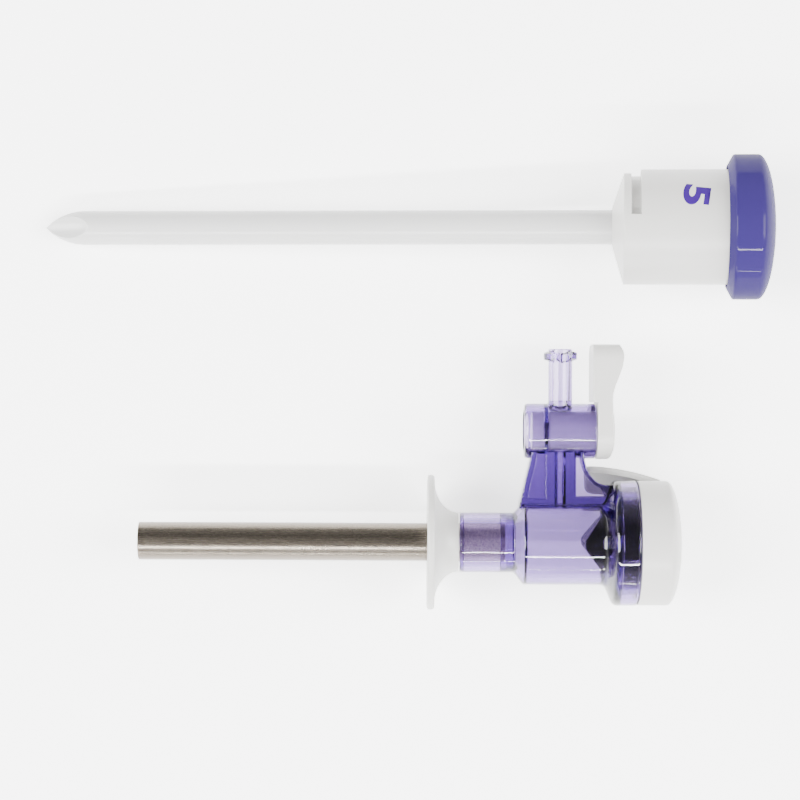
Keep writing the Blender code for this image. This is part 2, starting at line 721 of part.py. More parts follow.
def luer_threads(tools, axis):
    """Two helical lock lugs that start at the luer's mouth and run down round it."""
    crest_low = LUER_TOP - (THREAD_WIDTH + THREAD_CREST) / 2
    root = LUER_RADIUS - EDGE_RADIUS
    outline = [
        (LUER_TOP - THREAD_WIDTH, root, 0),
        (crest_low, THREAD_DIAMETER / 2, 0),
        (crest_low + THREAD_CREST, THREAD_DIAMETER / 2, 0),
        (LUER_TOP - MERGE_DISTANCE, root, 0),
    ]
    lugs = []
    for index in range(THREAD_STARTS):
        start = math.tau * index / THREAD_STARTS
        lug = sector("luer_lug", outline, start, start + THREAD_SWEEP, tools, rise=-THREAD_DROP)
        lugs.append(place(lug, axis, (LUER_STATION, 0, 0), ALONG_Y))
    return lugs


def stopcock_bores(tools, axis):
    """The plug's bore with the clip's pocket, and the gas way from the luer to the barrel."""
    bore = turned("plug_bore", [
        (VALVE_START - OVERRUN, 0, 0),
        (VALVE_START - OVERRUN, PLUG_RADIUS + FIT, 0),
        (POCKET_END, PLUG_RADIUS + FIT, 0),
        (POCKET_END, STEM_RADIUS + FIT, 0),
        (BORE_START, STEM_RADIUS + FIT, 0),
        (BORE_START, PLUG_RADIUS + FIT, 0),
        (VALVE_END + OVERRUN, PLUG_RADIUS + FIT, 0),
        (VALVE_END + OVERRUN, 0, 0),
    ], tools)
    place(bore, axis, (0, VALVE_HEIGHT, 0))
    gas_way = turned("gas_way", [
        (0, 0, 0),
        (0, GAS_RADIUS, 0),
        (LUER_TOP - LUER_SOCKET_DEPTH, GAS_RADIUS, 0),
        (LUER_TOP - LUER_SOCKET_DEPTH, LUER_SOCKET / 2, 0),
        (LUER_TOP, LUER_MOUTH / 2, 0),
        (LUER_TOP + OVERRUN, LUER_MOUTH / 2, 0),
        (LUER_TOP + OVERRUN, 0, 0),
    ], tools, SMALL_ROUND_STEPS)
    place(gas_way, axis, (LUER_STATION, 0, 0), ALONG_Y)
    return [bore, gas_way]


def neck_lugs(tools, axis):
    """Bayonet lugs on the neck, which turn in the groove inside the cap."""
    outline = [
        (LUG_START, NECK_RADIUS - NECK_WALL / 2, 0),
        (LUG_START, LUG_RADIUS, 0),
        (LUG_START + LUG_LENGTH, LUG_RADIUS, 0),
        (LUG_START + LUG_LENGTH, NECK_RADIUS - NECK_WALL / 2, 0),
    ]
    lugs = []
    for index in range(LUG_COUNT):
        middle = math.tau * index / LUG_COUNT
        lug = sector("neck_lug", outline, middle - LUG_ANGLE / 2, middle + LUG_ANGLE / 2, tools)
        lugs.append(place(lug, axis))
    return lugs


def make_duckbill(parts, tools, axis):
    """Black silicone one-way valve: a thick flange, a tube and two lips that close on a slit."""
    tube = VALVE_TUBE_DIAMETER / 2
    inner = tube - VALVE_TUBE_WALL
    slope = (tube - VALVE_LIP_HEIGHT / 2) / VALVE_ROOF
    valve = place(turned("duckbill_valve", [
        (DUCKBILL_TIP, 0, 0),
        (DUCKBILL_TIP, tube, 0),
        (DUCKBILL_START, tube, 0),
        (DUCKBILL_START, SEAL_RADIUS, EDGE_RADIUS),
        (DUCKBILL_END, SEAL_RADIUS, EDGE_RADIUS),
        (DUCKBILL_END, 0, 0),
    ], parts), axis)
    combine(valve, roof("lips", tools, axis, DUCKBILL_TIP, VALVE_LIP_HEIGHT / 2, slope), "INTERSECT")
    wall_rise = VALVE_TUBE_WALL * math.hypot(1, slope)
    hollow_tip = DUCKBILL_TIP + (wall_rise - VALVE_LIP_HEIGHT / 2 + SLIT) / slope
    hollow = place(turned("valve_hollow", [
        (hollow_tip, 0, 0),
        (hollow_tip, inner, 0),
        (DUCKBILL_START, inner, 0),
        (DUCKBILL_END, VALVE_FLANGE_MOUTH / 2, 0),
        (DUCKBILL_END + OVERRUN, VALVE_FLANGE_MOUTH / 2, 0),
        (DUCKBILL_END + OVERRUN, 0, 0),
    ], tools), axis)
    combine(hollow, roof("inner_lips", tools, axis, hollow_tip, SLIT, slope), "INTERSECT")
    combine(valve, hollow, "DIFFERENCE")
    slit = box(
        "slit",
        (DUCKBILL_TIP - OVERRUN, -SLIT / 2, -SLIT_WIDTH / 2),
        (hollow_tip + SLIT, SLIT / 2, SLIT_WIDTH / 2),
        tools,
    )
    combine(valve, place(slit, axis, turn=Matrix()), "DIFFERENCE")
    return valve


def roof(name, tools, axis, tip, half_height, slope):
    """Wedge whose two slanted planes shape the lips, wide open from the tube on."""
    wide = SEAL_RADIUS + OVERRUN
    shoulder = VALVE_TUBE_DIAMETER / 2 + OVERRUN
    run = tip + (shoulder - half_height) / slope
    end = DUCKBILL_END + OVERRUN + OVERRUN
    upper = [(tip, half_height, 0), (run, shoulder, 0), (run, wide, 0), (end, wide, 0)]
    lower = [(x, -y, 0) for x, y, corner in reversed(upper)]
    return place(plate(name, upper + lower, wide + wide, tools), axis, turn=Matrix())


def make_spacer(parts, axis):
    """Rigid ring that keeps the lip seal off the duckbill's mouth."""
    return place(turned("valve_spacer", ring_outline(
        SPACER_START, SPACER_THICKNESS, SPACER_BORE / 2, SEAL_RADIUS), parts), axis)


def ring_outline(start, thickness, bore, radius):
    """Outline of a flat ring."""
    return [(start, bore, 0), (start, radius, 0), (start + thickness, radius, 0), (start + thickness, bore, 0)]


def make_seal(parts, axis):
    """Silicone lip seal: a bead at its rim and a dished membrane with a round hole."""
    bead = SEAL_RADIUS - SEAL_BEAD_WIDTH
    middle = SEAL_START + SEAL_THICKNESS / 2
    lip = middle - SEAL_DISH
    return place(turned("instrument_seal", [
        (lip, SEAL_HOLE / 2, 0),
        (middle - SEAL_MEMBRANE / 2, bead, 0),
        (SEAL_START, bead, 0),
        (SEAL_START, SEAL_RADIUS, 0),
        (NECK_END, SEAL_RADIUS, 0),
        (NECK_END, bead, 0),
        (middle + SEAL_MEMBRANE / 2, bead, 0),
        (lip + SEAL_MEMBRANE, SEAL_HOLE / 2, 0),
    ], parts), axis)


def make_retainer(parts, axis):
    """Ring in the cap that presses on the lip seal's bead."""
    return place(turned("seal_retainer", ring_outline(
        RETAINER_START, RETAINER_THICKNESS, RETAINER_BORE / 2, RETAINER_RADIUS), parts), axis)


def make_cap(parts, tools, axis):
    """White end cap: bayonet groove inside, funnel-shaped port and thumb tab outside."""
    crown = arc(
        (CAP_RIM_END, 0), (CAP_CROWN, CAP_RADIUS), math.pi / 2, CROWN_EDGE, ROUND_STEPS // 6,
    )
    guide = NECK_RADIUS + FIT
    groove = LUG_RADIUS + FIT
    pocket = RETAINER_RADIUS + FIT
    plate_face = CAP_END - PORT_DEPTH - CAP_PLATE
    cap = place(turned("seal_cap", [
        (CAP_START, guide, 0),
        (CAP_START, CAP_RADIUS, EDGE_RADIUS / 2),
    ] + crown + [
        (CAP_END, PORT_RIM_RADIUS - PORT_LAND, 0),
        (CAP_END - PORT_DEPTH, PORT_DIAMETER / 2, EDGE_RADIUS),
        (plate_face, PORT_DIAMETER / 2, 0),
        (plate_face, PORT_RIM_RADIUS, 0),
        (RETAINER_END + FIT, pocket - CAP_LEDGE, 0),
        (RETAINER_END + FIT, pocket, 0),
        (NECK_END + FIT, pocket, 0),
        (NECK_END + FIT, groove, 0),
        (GROOVE_START, groove, 0),
        (GROOVE_START, guide, 0),
    ], parts), axis)
    combine(cap, make_tab(tools, axis), "UNION")
    entry = [
        (CAP_START - OVERRUN, NECK_RADIUS, 0),
        (CAP_START - OVERRUN, groove, 0),
        (LUG_START, groove, 0),
        (LUG_START, NECK_RADIUS, 0),
    ]
    half = LUG_ANGLE / 2 + LUG_PLAY
    for index in range(LUG_COUNT):
        middle = CAP_TURN + math.tau * index / LUG_COUNT
        cutter = sector("lug_entry", entry, middle - half, middle + half, tools)
        combine(cap, place(cutter, axis), "DIFFERENCE")
    return cap


def make_tab(tools, axis):
    """Thumb tab: a bowed strip that flares forward from the cap and slopes to the table."""
    pivot = (TAB_START, TAB_RADIUS - TAB_BEND)
    end = math.acos(TAB_LENGTH / TAB_BEND)
    outer = arc(pivot, (TAB_BEND, TAB_BEND), math.pi / 2, end, ROUND_STEPS // 6)
    inner_bend = TAB_BEND - TAB_THICKNESS
    inner = arc(pivot, (inner_bend, inner_bend), end, math.pi / 2, ROUND_STEPS // 6)
    tab = sector("thumb_tab", outer + inner, TAB_BOTTOM, TAB_TOP, tools)
    hinge = Matrix.Translation((TAB_END, 0, 0))
    slope = hinge @ Matrix.Rotation(-TAB_TILT, 4, "Y") @ hinge.inverted()
    return place(tab, axis, turn=slope @ ALONG_X)


def make_lever(parts, tools, axis):
    """White lever in one with the tapered plug that it turns, cross-bored for the gas."""
    hub_face = LEVER_START + LEVER_STEP
    hub_top = VALVE_RADIUS + FIT
    outer = [
        (LEVER_START + x_share * LEVER_DEPTH, y_share * LEVER_REACH, 0)
        for x_share, y_share in LEVER_OUTLINE_SHARES
    ]
    foot = -HUB_FOOT_SHARE * LEVER_REACH
    side = [(LEVER_START, LEVER_REACH, EDGE_RADIUS)] + outer + [
        (hub_face, foot, EDGE_RADIUS),
        (hub_face, hub_top, 0),
        (LEVER_START, hub_top, 0),
    ]
    lever = plate("stopcock_lever", side, LEVER_WIDTH, parts)
    place(lever, axis, turn=Matrix())
    half = LEVER_WIDTH / 2
    tip = LEVER_REACH + MERGE_DISTANCE
    front = arc((0, 0), (half, half), math.pi / 2, 1.5 * math.pi, ROUND_STEPS // 3)
    front += [(tip, -half, LEVER_TIP_RADIUS), (tip, half, LEVER_TIP_RADIUS)]
    width = plate("lever_front", front, 2 * LEVER_DEPTH + OVERRUN, tools)
    combine(lever, place(width, axis, (LEVER_START, 0, 0), FACING_X), "INTERSECT")
    plug_end = hub_face + OVERRUN
    plug = place(turned("plug", [
        (CLIP_START - FIT, 0, 0),
        (CLIP_START - FIT, STEM_RADIUS, 0),
        (BORE_START + FIT, STEM_RADIUS, 0),
        (BORE_START + FIT, PLUG_RADIUS, 0),
        (plug_end, PLUG_RADIUS, 0),
        (plug_end, 0, 0),
    ], tools), axis)
    combine(lever, plug, "UNION")
    bore = rod("plug_gas_bore", GAS_RADIUS, -PLUG_RADIUS - OVERRUN, PLUG_RADIUS + OVERRUN, tools)
    combine(lever, place(bore, axis, (LUER_STATION, 0, 0), ALONG_Y), "DIFFERENCE")
    return lever


def make_clip(parts, axis):
    """Ring pressed on the plug's stem, which keeps the plug in its bore."""
    return place(turned("plug_clip", ring_outline(
        CLIP_START, CLIP_THICKNESS, STEM_RADIUS + FIT, PLUG_RADIUS), parts, SMALL_ROUND_STEPS), axis)


def main():
    """Build both instruments and lay them on the table."""
    clear_scene()
    parts = new_collection("laparoscopic_trocar")
    tools = new_collection("cutters")
    white = new_material("white_plastic", (0.78, 0.77, 0.75), 0.35)
    shaft_white = new_material("shaft_plastic", (0.80, 0.80, 0.79), 0.3)
    purple = new_material("purple_plastic", (0.11, 0.08, 0.36), 0.25)
    clear = new_material("clear_purple_plastic", (0.33, 0.26, 0.62), 0.08, alpha=0.45)
    steel = new_material("stainless_steel", (0.36, 0.33, 0.30), 0.35, metallic=1.0)
    pin_steel = new_material("pin_steel", (0.6, 0.6, 0.6), 0.3, metallic=1.0)
    silicone = new_material("black_silicone", (0.012, 0.012, 0.016), 0.35)
    seal_silicone = new_material("seal_silicone", (0.35, 0.35, 0.36), 0.45)

    obturator = add_axis(
        "obturator_axis", parts, None, (TIP_X, OBTURATOR_Y, TIP_HEIGHT), (0, -REST_TILT, 0))
    cannula = add_axis(
        "cannula_axis", parts, None, (TIP_X + TUBE_TIP_BEHIND, OBTURATOR_Y - AXES_APART, FLANGE_RADIUS))
    stopcock = add_axis("stopcock_axis", parts, cannula, (0, VALVE_HEIGHT, 0))
    cap = add_axis("seal_cap_axis", parts, cannula, (0, 0, 0))

    pieces = (
        (make_shaft(parts, tools, obturator), shaft_white),
        (make_pin(parts, obturator), pin_steel),
        (make_handle(parts, tools, obturator), white),
        (make_knob(parts, obturator), purple),
        (make_tube(parts, cannula), steel),
        (make_flange(parts, cannula), white),
        (make_housing(parts, tools, cannula), clear),
        (make_duckbill(parts, tools, cannula), silicone),
        (make_spacer(parts, cannula), white),
        (make_seal(parts, cap), seal_silicone),
        (make_retainer(parts, cap), white),
        (make_cap(parts, tools, cap), white),
        (make_lever(parts, tools, stopcock), white),
        (make_clip(parts, stopcock), white),
    )
    for piece, material in pieces:
        settle(piece, material)


main()
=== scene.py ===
"""Looks of a laparoscopic trocar: a bladeless obturator lying beside its cannula.

Stations are measured along each instrument's own axis from its tip, in metres.
Angles round an axis run from +Y towards +Z.
"""
import math

import bmesh
import bpy
import numpy as np
from mathutils import Matrix, Vector


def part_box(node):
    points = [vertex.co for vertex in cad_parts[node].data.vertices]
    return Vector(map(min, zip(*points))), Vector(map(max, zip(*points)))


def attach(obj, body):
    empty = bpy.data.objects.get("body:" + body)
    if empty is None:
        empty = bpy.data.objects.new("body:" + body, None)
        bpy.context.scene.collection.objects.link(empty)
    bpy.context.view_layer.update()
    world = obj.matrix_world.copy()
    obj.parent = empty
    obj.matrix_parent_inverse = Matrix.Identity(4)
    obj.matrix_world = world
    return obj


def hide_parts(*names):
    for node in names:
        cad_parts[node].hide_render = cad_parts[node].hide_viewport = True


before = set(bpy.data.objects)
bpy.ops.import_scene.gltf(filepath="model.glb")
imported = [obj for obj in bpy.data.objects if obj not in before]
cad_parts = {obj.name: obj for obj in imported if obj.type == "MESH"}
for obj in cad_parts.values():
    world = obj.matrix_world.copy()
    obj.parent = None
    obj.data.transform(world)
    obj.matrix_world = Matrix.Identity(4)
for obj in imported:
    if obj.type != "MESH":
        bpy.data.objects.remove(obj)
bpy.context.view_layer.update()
MM = 0.001

# Obturator shaft
# A white rod moulded in stiff plastic. Its tip is an ogive with a spoon-shaped scoop on
# two sides, so that it parts tissue without cutting. It is pinned in the handle's hub.
SHAFT_RADIUS = 4.05 * MM
TIP_LENGTH = 9.4 * MM
SHAFT_END = 154.2 * MM
PIN_STATION = 148.02 * MM
SCOOP_RADII = np.array((12.4, 5.0, 5.0)) * MM
SCOOP_CENTRE = np.array((3.9, 0.0, 6.4)) * MM
SCOOP_TILT = math.radians(17.6)
SCOOP_EDGE = 0.05 * MM
SCOOP_END = 14 * MM
FIRST_STEP = 0.1 * MM
SCOOP_STEP = 0.12 * MM
SHAFT_RINGS = (30 * MM, 90 * MM)
SOFT_EDGE = 0.4 * MM

pin_low, pin_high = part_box("shaft_pin")
pin_middle = (pin_low + pin_high) / 2
tip_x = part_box("obturator_shaft")[0].x
rest_slope = math.acos((pin_middle.x - tip_x) / PIN_STATION)
OBTURATOR = (
    Matrix.Translation(pin_middle)
    @ Matrix.Rotation(-rest_slope, 4, "Y")
    @ Matrix.Translation((-PIN_STATION, 0, 0))
)


def outline(corners, steps=6):
    """Points (station, radius) of a profile given as corners (station, radius, fillet).

    A fillet is the arc that touches both neighbouring sides: its centre stands on the
    bisector at fillet / sin(half angle), and its ends at fillet / tan(half angle) along
    the sides. A holding point follows each end, so that the flats shade flat.
    """
    points = []
    spots = np.array([corner[:2] for corner in corners], float)
    for index, corner in enumerate(corners):
        here = spots[index]
        fillet = corner[2] if len(corner) > 2 else 0
        if not fillet:
            points.append(here[None])
            continue
        before = spots[index - 1] - here
        after = spots[(index + 1) % len(spots)] - here
        room = min(np.linalg.norm(before), np.linalg.norm(after))
        before = before / np.linalg.norm(before)
        after = after / np.linalg.norm(after)
        half = math.acos(np.clip(before @ after, -1, 1)) / 2
        reach = fillet / math.tan(half)
        bisector = (before + after) / np.linalg.norm(before + after)
        centre = here + bisector * fillet / math.sin(half)
        first = here + before * reach - centre
        last = here + after * reach - centre
        sweep = math.pi - 2 * half
        share = np.linspace(0, 1, steps + 1)[:, None]
        arc = (np.sin((1 - share) * sweep) * first + np.sin(share * sweep) * last) / math.sin(sweep)
        hold = max(reach, min(reach * 1.4, room / 2))
        points += [here + before[None] * hold, centre + arc, here + after[None] * hold]
    return np.concatenate(points)


def ellipse(centre, semi_axes, start, end, steps):
    """Corners on an ellipse: centre + (a cos t, b sin t) for t from start to end."""
    t = np.linspace(start, end, steps + 1)
    return [(centre[0] + semi_axes[0] * math.cos(a), centre[1] + semi_axes[1] * math.sin(a)) for a in t]


def around(steps, *extra):
    """Angles once round, evenly spaced, with a few more where an edge needs them."""
    even = np.arange(steps) * 2 * math.pi / steps
    return np.unique(np.concatenate([even, np.array(extra) % (2 * math.pi)]))


def revolve(profile, angles):
    """Grid of points: (station, radius cos a, radius sin a) for each profile point and angle."""
    station, radius = profile.T
    return np.stack([
        station[:, None] + 0 * angles,
        radius[:, None] * np.cos(angles),
        radius[:, None] * np.sin(angles),
    ], axis=-1)


CREASE = math.radians(32)
MERGE_DISTANCE = 0.0005 * MM


def solid(name, points, faces, place):
    """A closed mesh with its double corners merged, faces outwards, laid in its place."""
    mesh = bpy.data.meshes.new(name)
    mesh.from_pydata(points.reshape(-1, 3), [], faces)
    work = bmesh.new()
    work.from_mesh(mesh)
    bmesh.ops.remove_doubles(work, verts=work.verts, dist=MERGE_DISTANCE)
    bare = [edge for edge in work.edges if not edge.link_faces]
    bmesh.ops.delete(work, geom=bare, context="EDGES")
    bmesh.ops.recalc_face_normals(work, faces=work.faces)
    work.to_mesh(mesh)
    work.free()
    mesh.transform(place)
    mesh.shade_smooth()
    mesh.set_sharp_from_angle(angle=CREASE)
    piece = bpy.data.objects.new(name, mesh)
    bpy.context.scene.collection.objects.link(piece)
    return piece


def skin(name, grid, place):
    """A solid over a grid that wraps both ways: quads from (i, j) to (i + 1, j + 1)."""
    rows, columns = grid.shape[:2]
    index = np.arange(rows * columns).reshape(rows, columns)
    right = np.roll(index, -1, axis=1)
    quads = np.stack([index, right, np.roll(right, -1, axis=0), np.roll(index, -1, axis=0)], axis=-1)
    return solid(name, grid, quads.reshape(-1, 4).tolist(), place)


def capped(name, grid, place):
    """A solid over a grid that wraps one way, its first and last rows closed by flat faces."""
    rows, columns = grid.shape[:2]
    index = np.arange(rows * columns).reshape(rows, columns)
    right = np.roll(index, -1, axis=1)
    sides = np.stack([index[:-1], right[:-1], right[1:], index[1:]], axis=-1).reshape(-1, 4)
    return solid(name, grid, sides.tolist() + [index[0].tolist(), index[-1].tolist()], place)


def dress(piece, body, finish, slot, *nodes):
    """Give a piece its finish and the body it rides on, and hide the nodes it stands for. The slot is not
    used.
    """
    piece.data.materials.clear()
    piece.data.materials.append(finish)
    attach(piece, body)
    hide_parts(*nodes)


class Signal:
    """A value that varies in space. Sums on it become Math nodes in its recipe."""

    def __init__(self, recipe, socket):
        self.recipe = recipe
        self.socket = socket

    def __add__(self, other):
        return self.recipe.math("ADD", self, other)

    def __sub__(self, other):
        return self.recipe.math("SUBTRACT", self, other)

    def __mul__(self, other):
        return self.recipe.math("MULTIPLY", self, other)

    def __rsub__(self, other):
        return self.recipe.math("SUBTRACT", other, self)

    __radd__ = __add__
    __rmul__ = __mul__


class Recipe:
    """The nodes of a material or of the room, which are all made by the method node."""

    def __init__(self, owner, main):
        owner.use_nodes = True
        self.tree = owner.node_tree
        self.main = self.tree.nodes[main]

    def put(self, socket, value):
        """Link a signal to a socket, or set a number or colour on it."""
        if isinstance(value, Signal):
            self.tree.links.new(value.socket, socket)
        elif socket.type == "RGBA" and len(value) == 3:
            socket.default_value = (*value, 1.0)
        else:
            socket.default_value = value

    def node(self, kind, settings=None, inputs=None, output=0):
        """Add a node: settings first, then the values or signals of its sockets."""
        made = self.tree.nodes.new(kind)
        for key, value in (settings or {}).items():
            setattr(made, key, value)
        for key, value in (inputs or {}).items():
            self.put(made.inputs[key], value)
        return Signal(self, made.outputs[output])

    def math(self, operation, first, second):
        """Combine two values or signals by a Math node."""
        return self.node("ShaderNodeMath", {"operation": operation}, {0: first, 1: second})

    def feed(self, name, value):
        """Send a value to one of the main node's sockets."""
        self.put(self.main.inputs[name], value)


class Finish(Recipe):
    """A Principled material: constants on the shader's own sockets, signals linked in."""

    def __init__(self, name, colour, roughness, **constants):
        self.material = bpy.data.materials.new(name)
        super().__init__(self.material, "Principled BSDF")
        self.feed("Base Color", colour)
        self.feed("Roughness", roughness)
        for key, value in constants.items():
            self.feed(key.replace("_", " "), value)

    def spot(self, stretch=(1, 1, 1)):
        """Object coordinates, stretched per axis."""
        place = self.node("ShaderNodeTexCoord", output=3)
        return self.node("ShaderNodeMapping", {}, {"Vector": place, "Scale": stretch})

    def noise(self, size, detail=3.0, stretch=(1, 1, 1)):
        """Cloudy noise between 0 and 1, with features of a given size in metres."""
        inputs = {"Vector": self.spot(stretch), "Scale": 1 / size, "Detail": detail}
        return self.node("ShaderNodeTexNoise", {}, inputs)

    def blend(self, factor, first, second):
        """Mix two colours by a factor."""
        settings = {"data_type": "RGBA"}
        return self.node("ShaderNodeMix", settings, {0: factor, 6: first, 7: second}, output=2)

    def relief(self, height, depth):
        """Bump of a given depth in metres, from a height between 0 and 1."""
        bump = self.node("ShaderNodeBump", {}, {"Height": height, "Distance": depth, "Strength": 1.0})
        self.feed("Normal", bump)


CLOUD_SIZE = 14 * MM
GLOSS_SPREAD = 0.08


def plastic(name, light, dark, roughness, grain, depth, **constants):
    """Moulded plastic: faint clouds between two tones, a fine grain, a slightly uneven gloss."""
    finish = Finish(name, light, roughness, **constants)
    cloud = finish.noise(CLOUD_SIZE, 2.0)
    finish.feed("Base Color", finish.blend(cloud, light, dark))
    finish.feed("Roughness", (cloud - 0.5) * GLOSS_SPREAD + roughness)
    finish.relief(finish.noise(grain, 3.0), depth)
    return finish.material


def scoop_reach(station, angles):
    """Distance from the axis to the scoops' surface along each ray across the axis.

    The ray p + t u meets the tilted ellipsoid |S (p - c + t u)| = 1, a quadratic in t;
    where it has no root the ray runs free.
    """
    reach = np.full((len(station), len(angles)), np.inf)
    for side in (1, -1):
        lean = -SCOOP_TILT * side
        turn = np.array(Matrix.Rotation(lean, 3, "Y"))
        squeeze = turn.T / SCOOP_RADII[:, None]
        start = np.stack([station, 0 * station, 0 * station], -1) - SCOOP_CENTRE * (1, 1, side)
        ray = np.stack([0 * angles, np.cos(angles), np.sin(angles)], -1)
        p = start @ squeeze.T
        u = ray @ squeeze.T
        uu = np.einsum("ij,ij->i", u, u)[None]
        pu = p @ u.T
        pp = np.einsum("ij,ij->i", p, p)[:, None] - 1
        inside = pu ** 2 - uu * pp
        first = (-pu - np.sqrt(np.maximum(inside, 0))) / uu
        reach = np.where((inside > 0) & (first > 0), np.minimum(reach, first), reach)
    return reach


def soft_min(a, b, width):
    """The smaller of two lengths, with the crease between them rounded over a width."""
    mix = np.clip(0.5 + (b - a) / (2 * width), 0, 1)
    return np.where(np.isinf(b), a, b + (a - np.where(np.isinf(b), a, b)) * mix - width * mix * (1 - mix))


ogive_radius = (TIP_LENGTH ** 2 + SHAFT_RADIUS ** 2) / (2 * SHAFT_RADIUS)
tip_station = TIP_LENGTH * (1 - np.cos(np.linspace(0, math.pi / 2, 60)))
tip_radius = np.sqrt(ogive_radius ** 2 - (TIP_LENGTH - tip_station) ** 2) - (ogive_radius - SHAFT_RADIUS)
ogive = np.stack([tip_station, np.maximum(tip_radius, 0)], -1)
fine = np.stack([np.arange(TIP_LENGTH + FIRST_STEP, SCOOP_END, SCOOP_STEP)] * 2, -1)
fine[:, 1] = SHAFT_RADIUS
shank = outline([(ring_station, SHAFT_RADIUS) for ring_station in SHAFT_RINGS] + [
    (SHAFT_END, SHAFT_RADIUS, SOFT_EDGE),
    (SHAFT_END, 0),
])
shaft_angles = around(288)
shaft_profile = np.concatenate([ogive, fine, shank])
shaft_grid = revolve(shaft_profile, shaft_angles)
near = shaft_profile[:, 0] < SCOOP_END
radius = shaft_profile[near, 1][:, None] + 0 * shaft_angles
radius = soft_min(radius, scoop_reach(shaft_profile[near, 0], shaft_angles), SCOOP_EDGE)
shaft_grid[near, :, 1] = radius * np.cos(shaft_angles)
shaft_grid[near, :, 2] = radius * np.sin(shaft_angles)
shaft_plastic = plastic(
    "shaft_plastic", light=(0.48, 0.48, 0.475), dark=(0.46, 0.46, 0.455),
    roughness=0.26, grain=0.35 * MM, depth=0.004 * MM)
dress(skin("shaft_body", shaft_grid, OBTURATOR), "root", shaft_plastic, "shaft_plastic", "obturator_shaft")

# Cross pin
# A ground steel pin through the hub and the shaft, which keeps the shaft from turning
# or pulling out. It is hidden inside the handle.
PIN_RADIUS = 0.75 * MM
PIN_HALF = 6.45 * MM
FINE_EDGE = 0.15 * MM
pin_outline = outline([
    (-PIN_HALF, 0),
    (-PIN_HALF, PIN_RADIUS, FINE_EDGE),
    (PIN_HALF, PIN_RADIUS, FINE_EDGE),
    (PIN_HALF, 0),
])
pin_finish = Finish("pin_steel", colour=(0.6, 0.6, 0.6), roughness=0.25, Metallic=1.0)
grinding = pin_finish.noise(size=0.15 * MM, detail=2.0, stretch=(1, 0.1, 1))
pin_finish.relief(grinding, depth=0.002 * MM)
across = OBTURATOR @ Matrix.Translation((PIN_STATION, 0, 0)) @ Matrix.Rotation(math.pi / 2, 4, "Z")
dress(
    skin("cross_pin", revolve(pin_outline, around(48)), across),
    "root", pin_finish.material, "pin_steel", "shaft_pin")

# Obturator handle
# A hollow white grip with a conical nose, moulded in one. Its hub holds the shaft, and an
# L-shaped bayonet recess runs in from the nose and then a short way round.
HANDLE_RADIUS = 13.5 * MM
HANDLE_NOSE = 135.3 * MM
HANDLE_SHOULDER = 138.0 * MM
HANDLE_END = 166.6 * MM
HANDLE_INSIDE = 11.5 * MM
HUB_RADIUS = 6.45 * MM
HUB_BORE = 4.35 * MM
HUB_CEILING = 154.5 * MM
HUB_END = 156.5 * MM
RECESS_FLOOR = 11.9 * MM
RECESS_WALL = 142.0 * MM
SLOT_WIDTH = 2.2 * MM
RECESS_EDGE = 0.09 * MM
RECESS_RINGS = (-1, -0.5, 0, 0.5, 1)
GRIP_RING = 150 * MM
FLOOR_THICKNESS = 1.6 * MM
SHOULDER_EDGE = 0.35 * MM
MOUTH_ANGLES = (math.radians(-32), math.radians(26))
SLOT_ANGLES = (math.radians(-32), math.radians(81))


def ramp(x, low, high):
    """0 below low, 1 above high, with an S-shaped rise 3 t^2 - 2 t^3 between."""
    t = np.clip((x - low) / (high - low), 0, 1)
    return t * t * (3 - 2 * t)


def window(x, low, high, edge):
    """1 between low and high, 0 outside, rising over an edge's width inside each limit."""
    return ramp(x, low - edge, low + edge) * (1 - ramp(x, high - edge, high + edge))


edge_angle = RECESS_EDGE / HANDLE_RADIUS
handle_corners = [
    (HUB_CEILING, 0),
    (HUB_CEILING, HUB_BORE),
    (HANDLE_NOSE, HUB_BORE, FINE_EDGE),
    (HANDLE_SHOULDER, HANDLE_RADIUS, SHOULDER_EDGE),
] + [
    (wall + RECESS_EDGE * share, HANDLE_RADIUS)
    for wall in (RECESS_WALL - SLOT_WIDTH, RECESS_WALL) for share in RECESS_RINGS
] + [
    (GRIP_RING, HANDLE_RADIUS),
    (HANDLE_END, HANDLE_RADIUS),
    (HANDLE_END, HANDLE_INSIDE),
    (HANDLE_SHOULDER + FLOOR_THICKNESS, HANDLE_INSIDE, SOFT_EDGE),
    (HANDLE_NOSE + FLOOR_THICKNESS, HUB_RADIUS, SOFT_EDGE),
    (HUB_END, HUB_RADIUS, SOFT_EDGE),
    (HUB_END, 0),
]
turns = []
for limit in (MOUTH_ANGLES[0], MOUTH_ANGLES[1], SLOT_ANGLES[1]):
    turns += [limit + edge_angle * share for share in RECESS_RINGS]
handle_angles = around(240, *turns)
handle_grid = revolve(outline(handle_corners), handle_angles)
station = handle_grid[:, :, 0]
radius = np.hypot(handle_grid[:, :, 1], handle_grid[:, :, 2])
signed_angles = (handle_angles + math.pi) % (2 * math.pi) - math.pi
recess = np.maximum(
    window(signed_angles, *MOUTH_ANGLES, edge_angle)
    * (1 - ramp(station, RECESS_WALL - RECESS_EDGE, RECESS_WALL + RECESS_EDGE)),
    window(signed_angles, *SLOT_ANGLES, edge_angle)
    * window(station, RECESS_WALL - SLOT_WIDTH, RECESS_WALL, RECESS_EDGE),
)
sunk = np.where(radius > RECESS_FLOOR, radius + (RECESS_FLOOR - radius) * recess, radius)
handle_grid[:, :, 1] = sunk * np.cos(handle_angles)
handle_grid[:, :, 2] = sunk * np.sin(handle_angles)
WHITE = (0.46, 0.455, 0.44)
white_plastic = plastic(
    "white_plastic", light=WHITE, dark=(0.445, 0.44, 0.425),
    roughness=0.34, grain=0.3 * MM, depth=0.006 * MM)
dress(
    skin("handle_grip", handle_grid, OBTURATOR),
    "root", white_plastic, "white_plastic", "obturator_handle")

